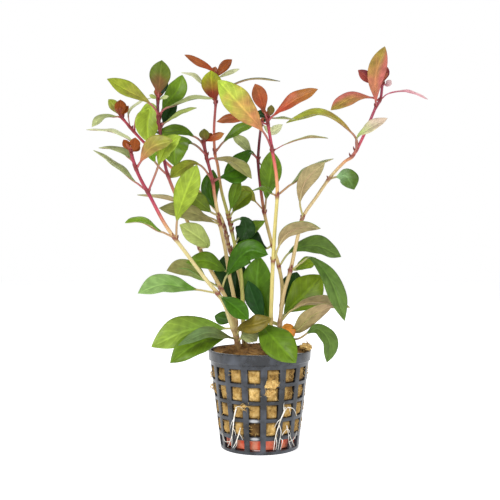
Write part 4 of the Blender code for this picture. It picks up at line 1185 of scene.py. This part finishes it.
# The small leaves that stay joined to each stem, in the same way but with no stem's letter
SMALL_LEAVES = {
    "a": [
        ([(-59, -24.5, 138), (-62, -22.5, 142.5), (-68.5, -18.5, 147), (-78.5, -14.5, 148.5)],
         5, 8, (0, -0.3, 1), "grey", "tan"),
        ([(-60.5, -26, 144), (-60, -26, 149.5), (-70.5, -22, 155), (-83.5, -19, 156.5)],
         6, 6, (0, -0.3, 1), "pale", "tan"),
        ([(-11, -7, 53), (-8.5, -9, 56), (-5, -10, 56), (-1.5, -12, 54)],
         3, 9, (0, -1, 1), "grey", "tan"),
        ([(-11.5, -7, 54.5), (-18.5, -21, 58), (-26, -27, 59.5), (-38, -33, 54.5)],
         3, 6, (0, -1, 0.7), "slate", "tan"),
        ([(-61, -26, 144.5), (-63, -26, 148), (-64.5, -26, 150.5)], 1, 3.5, (0, -1, 0), "cinder", "tan"),
        ([(-61, -26, 144.5), (-59, -28, 147), (-58.5, -29, 151)], 1, 5, (0, -1, 0), "cinder", "tan"),
        ([(-61, -26, 144.5), (-59, -25, 146), (-57, -24, 148)], 1, 3, (0, -1, 0), "cinder", "tan"),
    ],
    "b": [
        ([(-30.5, -4, 99.5), (-26, -9, 101), (-30, -13, 105), (-39, -16, 111)],
         5, 10, (0.3, -1, 0.3), "sage", "tan"),
        ([(-49.5, -7, 160.5), (-45.5, -10, 162.5), (-38, -11, 166.5), (-31, -12, 168.5)],
         4, 5, (0, -0.7, 1), "sage", "grey"),
        ([(-49.5, -7, 158.5), (-47.5, -2, 164.5), (-46, 0, 169.5), (-42.5, 1, 175.5)],
         5, 7, (0, -1, 0), "dark", "grey"),
        ([(-50.5, -8, 174), (-52, -10, 174), (-54.5, -11, 175)], 1, 2, (0, -1, 0), "sage", "tan"),
        ([(-50.5, -8, 173), (-48, -9, 174), (-45, -10, 174.5)], 1, 2, (0, -1, 0), "grey", "tan"),
        ([(-50.5, -8, 172.5), (-49.5, -6, 178), (-48, -3, 186)], 1, 6, (0, -1, 0), "dark", "tan"),
    ],
    "c": [
        ([(-72.5, 14, 168.5), (-75, 12, 169), (-81.5, 11, 168.5), (-87, 9, 163)],
         3, 7, (0, -0.6, 1), "grey", "tan"),
        ([(-68, 14, 163.5), (-69, 16, 172), (-64, 18, 177.5), (-57, 19, 180.5)],
         8, 5, (0, -0.3, 1), "pale", "tan"),
        ([(-8.5, 11, 70), (-10, 15, 74), (-13, 19, 83), (-11, 22, 94.5)],
         3, 13, (0, -1, 0), "dark", "grey"),
        ([(-72.5, 14, 169), (-72.5, 12, 172.5), (-72.5, 11, 177.5)], 1, 6, (0, -1, 0), "cinder", "tan"),
        ([(-72.5, 14, 169), (-76, 16, 174.5), (-80, 17, 179)], 1, 5, (0, -1, 0), "olive", "tan"),
        ([(-72.5, 14, 169), (-71, 13, 171.5), (-68.5, 12, 174.5)], 1, 3, (0, -1, 0), "cinder", "tan"),
    ],
    "d": [
        ([(-16, 4, 87.5), (-19, -1, 89.5), (-26.5, -8, 93.5), (-36.5, -9, 92.5)],
         2, 9, (0, -1, 0.5), "mid", "tan"),
        ([(-27.5, 2, 148), (-30.5, 4, 155), (-39.5, 5, 160), (-45.5, 6, 160), (-53.5, 7, 159.5)],
         15, 9, (0, -0.9, 0.8), "mid", "tan"),
        ([(-20.5, 3.5, 113), (-28, 7.5, 117), (-45.5, 10.5, 125), (-64, 12.5, 128)],
         6, 8, (0, 0.05, 1), "grey", "tan"),
        ([(-21, 3, 116.5), (-24.5, 1, 118), (-29, 0, 122), (-36, -2, 127.5)],
         5, 8, (0, -1, 0.2), "moss", "grey"),
        ([(-21, 3, 114.5), (-22, 6, 119.5), (-25.5, 7, 128.5), (-24, 7, 140.5)],
         7, 9, (0, -1, 0), "deep", "grey"),
        ([(-12.5, 5, 61.5), (-15, 8, 62.5), (-19, 10, 63.5), (-23.5, 12, 64.5)],
         3, 7, (0, -1, 0.3), "deep", "grey"),
        ([(-13.5, 4.5, 72.5), (-15.5, 10.5, 74), (-17.5, 12.5, 84.5), (-17.5, 14.5, 97)],
         3, 12, (0, -1, 0), "dark", "grey"),
        ([(-28.5, 2, 154), (-28, -1, 156), (-28, -2, 160)], 1, 5, (0, -1, 0), "bronze", "tan"),
        ([(-28.5, 2, 154), (-24, 1, 155.5), (-18, 0, 158)], 1, 4.5, (0, -1, 0.5), "coral", "tan"),
        ([(-28.5, 2, 154), (-26.5, 4, 156), (-24.5, 5, 159)], 1, 4, (0, -1, 0), "cinder", "tan"),
    ],
    "e": [
        ([(-15.5, 11.5, 112.5), (-12.5, 9.5, 114.5), (-9, 8.5, 115), (-7, 8.5, 111), (-9.5, 7.5, 104)],
         8, 10, (0, -1, 0), "dark", "grey"),
        ([(-23, 21.5, 187.5), (-25, 20.5, 195), (-32.5, 18.5, 199), (-39.5, 16.5, 202.5)],
         7, 5.5, (0, -0.8, 0.6), "rust", "tan"),
        ([(-23, 21, 185), (-29, 22, 187.5), (-35.5, 23, 193), (-42, 24, 195)],
         6, 5, (0, -0.5, 1), "pale", "tan"),
        ([(-23, 20.5, 180.5), (-19.5, 22.5, 185.5), (-5, 24.5, 191.5), (11.5, 26.5, 191)],
         6, 5.5, (0, -0.2, 1), "dark", "tan"),
        ([(-16.5, 12, 117), (-14.5, 9, 122), (-12.5, 6, 129), (-10, 4, 135.5)],
         4, 7, (-0.6, -1, 0), "mid", "grey"),
        ([(-16, 11.5, 115), (-13.5, 11.5, 119.5), (-9.5, 12.5, 124.5), (-4, 13.5, 129.5)],
         5, 8, (0, -1, 0.5), "moss", "grey"),
        ([(-23.5, 22, 191), (-19, 22, 197.5), (-14.5, 22, 201.5)], 1, 5, (0, -1, 0), "cinder", "tan"),
        ([(-23.5, 22, 191), (-17, 24, 194.5), (-10.5, 26, 197.5)], 1, 2.4, (0, -1, 0), "pale", "tan"),
        ([(-23.5, 22, 191), (-24.5, 24, 194), (-23.5, 25, 198.5)], 1, 4, (0, -1, 0), "rust", "tan"),
    ],
    "f": [
        ([(3.5, -13.5, 160), (-5, -11.5, 163), (-13.5, -9.5, 164), (-21.5, -7.5, 162.5)],
         8, 7, (0, -1, 0.8), "rust", "tan"),
        ([(8.5, -10.5, 125), (5, -7.5, 127.5), (1.5, -4.5, 129.5), (-4, -0.5, 129)],
         4, 7, (0, -0.4, 1), "mid", "grey"),
        ([(3.5, -14, 163), (5, -15, 165.5), (5.5, -16, 169)], 1, 3.5, (0, -1, 0), "bronze", "tan"),
        ([(3.5, -14, 163), (1, -12, 165), (-2, -10, 166.5)], 1, 4, (0, -1, 0), "dark", "tan"),
        ([(3.5, -14, 163), (8.5, -14, 163), (17.5, -13, 162.5)], 1, 4, (0, -0.4, 1), "grey", "tan"),
    ],
    "g": [
        ([(-0.5, 23, 148), (-5, 24, 152.5), (-9, 25, 157.5), (-14.5, 26, 162.5)],
         5, 7, (0, -0.7, 0.8), "grey", "tan"),
        ([(-0.5, 23, 147.5), (-4.5, 19, 151.5), (-10, 14, 146), (-18.5, 10, 136)],
         4, 8.5, (0, -0.9, 0.6), "deep", "grey"),
        ([(-0.5, 23, 147.5), (1.5, 21, 144.5), (6, 20, 143.5), (11.5, 19, 143.5)],
         3, 4.5, (0, -0.6, 1), "mid", "grey"),
        ([(2.5, 19, 120), (-4, 17, 127), (-6.5, 16, 129.5), (-9.5, 15, 133)],
         8, 6, (0, -1, 0.5), "olive", "tan"),
        ([(6.5, 16, 101.5), (3.5, 15, 100), (-3.5, 16, 102.5), (-12, 17, 108)],
         3, 13.5, (0, -1, 0.5), "dark", "grey"),
        ([(10.5, 9.5, 59.5), (2, 9.5, 63.5), (-2.5, 11.5, 73), (-6, 12.5, 83)],
         9, 9, (0, -1, 0), "teal", "grey"),
        ([(11.5, 11, 70), (13.5, 14, 71.5), (17, 16, 78.5), (20, 17, 87.5)],
         3, 12, (0, -1, 0), "dark", "grey"),
        ([(1.5, 26, 167.5), (-0.5, 24, 168.5), (-2.5, 23, 169.5)], 1, 4, (0, -1, 0), "dark", "tan"),
        ([(1.5, 26, 167.5), (3, 25, 170), (4.5, 24, 173)], 1, 4, (0, -1, 0), "dark", "tan"),
        ([(1.5, 26, 167.5), (7, 22, 163), (12.5, 19, 166)], 1, 5, (0, -1, 0.3), "pale", "tan"),
    ],
    "h": [
        ([(16, -1.5, 89), (18.5, 1.5, 89), (22.5, 3.5, 91), (29, 5.5, 95)],
         4, 8, (0, -0.8, 1), "sun", "grey"),
        ([(10.5, -1, 60), (18, -8, 59), (25, -10, 66), (36, -11, 72)],
         4, 9, (0, 0.9, 0.6), "mid", "dusk"),
        ([(10, -1, 56.5), (13, -6, 59.5), (15.5, -9, 58), (17, -10, 56)],
         1, 6, (0, -1, 0.5), "orange", "tan"),
        ([(60.5, -4, 174), (65.5, -3, 178), (75, -1, 179), (85.5, 1, 175.5)],
         5, 5, (0, -0.1, 1), "rose", "pink"),
        ([(61.5, -4, 182), (57, -5, 182.5), (49, -6, 188.5)], 4, 5, (0, -1, 0), "wine", "tan"),
        ([(61.5, -4, 182), (62.5, -4, 185.5), (64, -4, 190.5)], 1, 3.5, (0, -1, 0), "wine", "tan"),
        ([(61.5, -4, 182), (63.5, -5, 181.5), (65.5, -6, 183.5)], 1, 3, (0, -1, 0), "rose", "tan"),
    ],
}


def blade_width(t):
    """The share of its full width that a blade has at a share of its length."""
    rise = (t / WIDEST_POINT) ** (WIDEST_POINT * BASE_TAPER)
    fall = ((1 - t) / (1 - WIDEST_POINT)) ** ((1 - WIDEST_POINT) * TIP_SHARPNESS)
    return rise * fall


def make_flat_blade(name, steps, columns):
    """A flat strip from 0 to 1 long and -1 to 1 wide, with a blade's veins moulded in it."""
    bpy.ops.object.select_all(action="DESELECT")
    bpy.ops.mesh.primitive_grid_add(x_subdivisions=steps, y_subdivisions=columns, size=2)
    blade = bpy.context.active_object
    blade.name = name
    blade.data.transform(Matrix.Translation((0.5, 0, 0)) @ Matrix.Diagonal((0.5, 1, 1, 1)))
    for vertex in blade.data.vertices:
        along, across = vertex.co.x, abs(vertex.co.y)
        vein = (along - VEIN_SWEEP * across ** VEIN_CURVE) * VEIN_PAIRS
        hill = math.sqrt(abs(math.sin(math.pi * vein))) * (1 - across ** 4) * min(1, 4 * across)
        groove = math.exp(-(across / RIB_GROOVE_WIDTH) ** 2)
        vertex.co.z = QUILTING * hill - RIB_GROOVE * groove
    return blade


flat_blade = make_flat_blade("flat_blade", *BLADE_GRID)
small_flat_blade = make_flat_blade("small_flat_blade", *SMALL_BLADE_GRID)


def frame_at(path, face, share):
    """A point on a path, with the directions along it, across it and out of the leaf's face."""
    place = min(share, 0.9999) * (len(path) - 1)
    index = int(place)
    point = path[index].lerp(path[index + 1], place - index)
    ahead = path[min(index + 2, len(path) - 1)]
    behind = path[max(index - 1, 0)]
    along = (ahead - behind).normalized()
    across = face.cross(along).normalized()
    return point, along, across, along.cross(across)


def vein_depth(width):
    """How deep a blade's veins are, as a share of a large leaf's."""
    return min(1, width / DEEP_VEIN_WIDTH)


def bend_blade(chance, path, face, length, blade_start, width):
    """The flat blade folded, waved and curled a little, bent along its midrib and thickened."""
    fold = math.tan(math.radians(chance.uniform(*FOLD_ANGLES)))
    wave_count = chance.uniform(*WAVE_COUNTS)
    wave_shift = chance.uniform(0, math.tau)
    wave_height = chance.uniform(*WAVE_HEIGHTS)
    curl = chance.uniform(*CURLS)
    source = flat_blade if length > SMALL_LENGTH else small_flat_blade
    blade = source.copy()
    blade.data = source.data.copy()
    bpy.context.scene.collection.objects.link(blade)
    for vertex in blade.data.vertices:
        along_share, across_share, relief_height = vertex.co
        share = blade_start + (1 - blade_start) * along_share
        point, along, across, up = frame_at(path, face, share)
        half = width / 2 * blade_width(along_share)
        if along_share < STALK_SPREAD:
            half = max(half, STALK_HALF_WIDTH * (1 - along_share) ** 2)
        side = abs(across_share)
        lag = WAVE_LAG if across_share > 0 else 0
        wave = math.sin(math.tau * wave_count * along_share + wave_shift + lag)
        lift = half * side * fold - half * side ** 2 * curl
        lift += wave * wave_height * half * side ** 2
        lift += relief_height * vein_depth(width) * min(1, half / 2)
        vertex.co = (point + across * (across_share * half) + up * lift) * MM
    dress(blade, leaf_top, leaf_under, leaf_stalk)
    wall = blade.modifiers.new("thickness", "SOLIDIFY")
    wall.thickness = BLADE_THICKNESS * MM
    wall.offset = -1
    # The under side takes the second material
    wall.material_offset = 1
    wall.material_offset_rim = 0
    apply_all(blade)
    tidy_mesh(blade, BLADE_MERGE)
    blade.data.shade_smooth()
    return blade


def make_stalk(name, path, face, length, blade_start, width):
    """The stalk and the rib that it runs out into below the blade, as one tapered tube."""
    rib_end = blade_start + (1 - blade_start) * RIB_REACH
    rib_count = round(length * rib_end / RIB_STEP)
    rib_path = []
    radii = []
    for step in range(rib_count + 1):
        share = rib_end * step / rib_count
        point, along, across, up = frame_at(path, face, share)
        run = max(0, (share - blade_start) / (rib_end - blade_start))
        radius = STALK_RADIUS * min(1, width / FULL_STALK_WIDTH) * (1 - run) + RIB_TIP_RADIUS * run
        sink = (radius + RIB_GROOVE * vein_depth(width)) * min(1, run * RIB_SINK_RATE)
        rib_path.append(point - up * sink)
        radii.append(radius)
    stalk = grow_tubes(name + "_stalk", [(rib_path, radii)], 1)
    dress(stalk, leaf_stalk)
    return stalk


def tint_leaf(blade, stalk, stem_name, path, face, width, upper, under, brightness):
    """Paint a blade and its stalk: the tint of the upper side and that of the under side."""
    base_colour, tip_colour = [linear(code) for code in LEAF_COLOURS[upper]]
    under_base, under_tip = [linear(code) for code in UNDER_COLOURS[under]]
    start, end = path[0], path[-1]
    reach = (end - start).length
    red_from, red_to = REDDENING[stem_name]
    redness = min(1, max(0, (start.z - red_from + STALK_EARLY) / (red_to - red_from)))
    stalk_colour = mix(linear(STALK_GREEN), linear(STALK_RED), redness)

    def share_of(spot):
        return min(1, (spot - start).length / reach)

    def top_tint(spot):
        share = CHANGE_RATE * share_of(spot) - CHANGE_DELAY - LATE_CHANGES.get(upper, 0)
        share = smooth_step(share + CHANGE_UNEVEN * noise.noise(spot / CHANGE_PATCH))
        colour = mix(base_colour, tip_colour, share)
        if upper in BLUSHES:
            point, along, across, up = frame_at(path, face, share_of(spot))
            blush = BLUSH_SHARE * smooth_step(-BLUSH_EDGE * (spot - point).dot(across) / width)
            colour = mix(colour, linear(BLUSHES[upper]), blush)
        return [c * brightness for c in colour[:3]] + [1]

    def under_tint(spot):
        return mix(under_base, under_tip, share_of(spot))

    def stalk_tint(spot):
        return mix(stalk_colour, under_base, min(1, STALK_FADE * share_of(spot)))

    paint(blade, "tint", top_tint)
    paint(blade, "under_tint", under_tint)
    paint(stalk, "tint", stalk_tint)
    paint(stalk, "under_tint", under_tint)


def lay_leaf(name, stem_name, points, stalk_length, width, face, upper, under):
    """One leaf with its stalk, laid along its midrib and painted."""
    chance = random.Random(name)
    path = even_path(points, PATH_STEP)
    face = Vector(face).normalized()
    length = sum((b - a).length for a, b in zip(path, path[1:]))
    blade_start = BARE_STALK * stalk_length / length
    blade = bend_blade(chance, path, face, length, blade_start, width)
    stalk = make_stalk(name, path, face, length, blade_start, width)
    brightness = chance.uniform(*BRIGHTNESS)
    tint_leaf(blade, stalk, stem_name, path, face, width, upper, under, brightness)
    return join_pieces(name, [blade, stalk])


def vein_pattern(tree):
    """A socket that is 1 on the midrib, 0.6 on the side veins and 0 between them."""
    uv_map = add_node(tree, "ShaderNodeUVMap", uv_map="UVMap").outputs[0]
    uv = add_node(tree, "ShaderNodeSeparateXYZ", {"Vector": uv_map})
    across = add_node(tree, "ShaderNodeMath", {
        0: uv.outputs["Y"], 1: 2, 2: -1}, operation="MULTIPLY_ADD")
    side = add_node(tree, "ShaderNodeMath", {0: across.outputs[0]}, operation="ABSOLUTE")
    swept = add_node(tree, "ShaderNodeMath", {0: side.outputs[0], 1: VEIN_CURVE}, operation="POWER")
    moved = add_node(tree, "ShaderNodeMath", {
        0: swept.outputs[0], 1: -VEIN_SWEEP, 2: uv.outputs["X"]}, operation="MULTIPLY_ADD")
    turns = add_node(tree, "ShaderNodeMath", {
        0: moved.outputs[0], 1: math.pi * VEIN_PAIRS}, operation="MULTIPLY")
    sine = add_node(tree, "ShaderNodeMath", {0: turns.outputs[0]}, operation="SINE")
    away = add_node(tree, "ShaderNodeMath", {0: sine.outputs[0]}, operation="ABSOLUTE")
    side_vein = add_node(tree, "ShaderNodeMapRange", {
        "Value": away.outputs[0], "From Min": 0.05, "From Max": 0.3, "To Min": 0.6, "To Max": 0})
    rib = add_node(tree, "ShaderNodeMapRange", {
        "Value": side.outputs[0], "From Min": 0.04, "From Max": 0.11, "To Min": 1, "To Max": 0})
    both = add_node(tree, "ShaderNodeMath", {
        0: side_vein.outputs[0], 1: rib.outputs[0]}, operation="MAXIMUM")
    return both.outputs[0]


def leaf_material(name, roughness, layer, vein_gain, coat):
    """Leaf skin: the painted tint, mottled in soft patches, with paler veins and a fine grain."""
    material, tree, shader = new_material(name, roughness, 1.42)
    place = add_node(tree, "ShaderNodeTexCoord").outputs["Object"]
    painted = add_node(tree, "ShaderNodeVertexColor", layer_name=layer)
    patches = add_node(tree, "ShaderNodeTexNoise", {
        "Vector": place, "Scale": 1 / (LEAF_PATCH * MM), "Detail": 4})
    cells = add_node(tree, "ShaderNodeTexNoise", {
        "Vector": place, "Scale": 1 / (LEAF_GRAIN * MM), "Detail": 1})
    mottle = add_node(tree, "ShaderNodeMapRange", {
        "Value": patches.outputs["Fac"], "From Min": 0.3, "From Max": 0.7,
        "To Min": 0.78, "To Max": 1.22})
    gain = add_node(tree, "ShaderNodeMath", {
        0: vein_pattern(tree), 1: vein_gain, 2: mottle.outputs["Result"]}, operation="MULTIPLY_ADD")
    colour = add_node(tree, "ShaderNodeVectorMath", {
        0: painted.outputs["Color"], "Scale": gain.outputs[0]}, operation="SCALE")
    relief = add_node(tree, "ShaderNodeBump", {
        "Height": cells.outputs["Fac"], "Strength": 0.2, "Distance": 0.1 * MM})
    tree.links.new(colour.outputs["Vector"], shader.inputs["Base Color"])
    tree.links.new(relief.outputs["Normal"], shader.inputs["Normal"])
    shader.inputs["Specular IOR Level"].default_value = 0.15
    shader.inputs["Coat Weight"].default_value = coat
    shader.inputs["Coat Roughness"].default_value = 0.3
    return material


# Leaf skin. The upper side has a thin wax that gives it a broad soft shine. The under side is
# duller and paler, and its veins stand out less. The stalk is smooth and has no veins. The
# grain of the skin is drawn several times coarser than its cells, which are too fine to show.
LEAF_PATCH = 3.5
LEAF_GRAIN = 0.8
leaf_top = leaf_material(
    "waxy upper leaf skin", roughness=0.38, layer="tint", vein_gain=0.42, coat=0.12)
leaf_under = leaf_material(
    "dull under leaf skin", roughness=0.6, layer="under_tint", vein_gain=0.3, coat=0)
leaf_stalk = painted_material(
    "leaf stalk skin", roughness=0.45, pattern_width=1.5, stretch=(1, 1, 1),
    pattern_range=(0, 1), gains=(0.8, 1.2), bump_strength=0.2)


def make_tip_leaflets(stem_name, tip):
    """A ring of the youngest leaves, still upright and folded, round a stem's growing point."""
    chance = random.Random("leaflets_" + stem_name)
    leaflets = []
    for number in range(TIP_LEAFLETS):
        turn = number * math.tau / TIP_LEAFLETS + chance.uniform(-LEAFLET_TURN, LEAFLET_TURN)
        out = Vector((math.cos(turn), math.sin(turn), 0))
        length = chance.uniform(*LEAFLET_LENGTHS)
        spread = length * chance.uniform(*LEAFLET_SPREADS)
        line = []
        for t in (0, 0.5, 1):
            rise = Vector((0, 0, length * t - LEAFLET_SINK))
            line.append(tip + out * spread * t ** LEAFLET_CURVE + rise)
        face = Vector((0, 0, LEAFLET_FACE_UP)) - out
        colour = chance.choice(TIP_COLOURS[stem_name])
        leaflets.append(lay_leaf(
            f"leaflet_{stem_name}_{number}", stem_name, line, LEAFLET_STALK,
            length * LEAFLET_WIDTH, face, colour, "young"))
    return leaflets


for leaf_name, leaf_sizes in LEAVES.items():
    leaf = lay_leaf("blade_" + leaf_name, *leaf_sizes)
    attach(leaf, "root")
    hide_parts("leaf_" + leaf_name)

for stem_name, points in STEMS.items():
    path = even_path(points, STEM_STEP)
    joints = [row[1][0][2] for row in LEAVES.values() if row[0] == stem_name]
    joints += [row[0][0][2] for row in SMALL_LEAVES[stem_name]]
    joints += CLOSE_JOINTS.get(stem_name, [])
    pieces = make_stem(stem_name, path, joints)
    pieces += make_tip_leaflets(stem_name, path[-1])
    for index, leaf_sizes in enumerate(SMALL_LEAVES[stem_name]):
        pieces.append(lay_leaf(f"young_{stem_name}_{index}", stem_name, *leaf_sizes))
    shoot = join_pieces("shoot_" + stem_name, pieces)
    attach(shoot, "root")
    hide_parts("stem_" + stem_name)

for blade in (flat_blade, small_flat_blade):
    bpy.data.objects.remove(blade)


# Roots
# Fine white roots that grew out through the windows and hang down the wall, each with shorter
# rootlets that branch off sideways.
ROOT_RADIUS = 0.4
ROOT_TIP_RADIUS = 0.12
ROOTLET_RADIUS = 0.19
ROOTLET_TIP_RADIUS = 0.072
ROOT_UNEVEN = (0.88, 1.12)
ROOT_STEP = 0.6
# How far roots lie off the wall, how much further rootlets may, and how deep a root starts in
# its window
ROOT_LIFT = 0.4
ROOTLET_WANDER = 0.35
ROOT_START_LIFT = -0.6

# Each root as (angle from the front in degrees, height in mm) from its window to its tip, then
# its rootlets in the same way
ROOTS = {
    "root_left": [
        [(-31, 23), (-32, 21), (-35, 17), (-37.5, 12.5), (-40, 9), (-45, 5.5), (-51, 2.5)],
        [(-40, 9), (-40.5, 6), (-42.5, 3)],
        [(-37.5, 12.5), (-34.5, 11), (-33, 9)],
        [(-35, 17), (-39, 15), (-43, 11.5)],
        [(-31, 23), (-26, 23.8), (-20, 22.5)],
        [(-45, 5.5), (-56, 5), (-62, 8.5)],
    ],
    "root_middle": [
        [(-27, 13), (-28.5, 10.5), (-32, 7.5), (-36.5, 4.5), (-41, 2.5)],
        [(-28.5, 10.5), (-25, 9), (-23.5, 7.2)],
        [(-32, 7.5), (-33.5, 4.5), (-37, 2.8)],
    ],
    "root_right": [
        [(33, 23), (30.5, 21), (27, 18), (24.5, 15), (20.5, 9.5), (18.5, 2.5)],
        [(30.5, 21), (29, 23.5), (29.5, 25.5)],
        [(30.5, 21), (36, 23), (41, 19.5)],
        [(27, 18), (22, 16.5), (18, 13.5)],
        [(24.5, 15), (27.5, 11), (26, 7), (25, 2.5)],
        [(26.5, 8), (31, 7), (30, 4.5), (28.5, 2.5)],
        [(20.5, 9.5), (22.5, 6), (21.5, 2.5)],
        [(29.5, 9.5), (34, 11.5), (39, 12), (44, 9)],
        [(36, 14), (40, 9.5), (42, 5.5), (47, 2.5)],
        [(42, 5.5), (52, 6.5), (58, 10)],
        [(42, 9), (50, 4.5), (55, 2.5)],
        [(36, 23), (46, 21.5), (54, 17.5)],
    ],
}

# Root skin: pale, moist and almost smooth, with patches that are a little yellower
root_skin = patchy_material(
    "root skin", roughness=0.5, patch_width=2, detail=3,
    tones=[(0.35, "E4DCC8"), (0.6, "FFFDF8")], bump_strength=0.4, bump_depth=0.1)


def make_root(chance, course, number):
    """The line and the radii of a root, number 0, or of a rootlet that branches from it."""
    wander, thick, thin = ROOTLET_WANDER, ROOTLET_RADIUS, ROOTLET_TIP_RADIUS
    if number == 0:
        wander, thick, thin = 0, ROOT_RADIUS, ROOT_TIP_RADIUS
    lifts = [ROOT_LIFT + wander * chance.random() for _ in course]
    if number == 0:
        lifts[0] = ROOT_START_LIFT
    stops = []
    for (angle, height), lift in zip(course, lifts):
        stops.append(round_place(math.radians(angle), wall_radius(height) + lift, height))
    path = even_path(stops, ROOT_STEP)
    radii = []
    for index in range(len(path)):
        radius = thick + (thin - thick) * index / (len(path) - 1)
        radii.append(radius * chance.uniform(*ROOT_UNEVEN))
    return path, radii


for root_name, courses in ROOTS.items():
    chance = random.Random(root_name)
    runs = [make_root(chance, course, number) for number, course in enumerate(courses)]
    root = grow_tubes("fine_" + root_name, runs, 1)
    dress(root, root_skin)
    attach(root, "root")
    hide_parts(root_name)
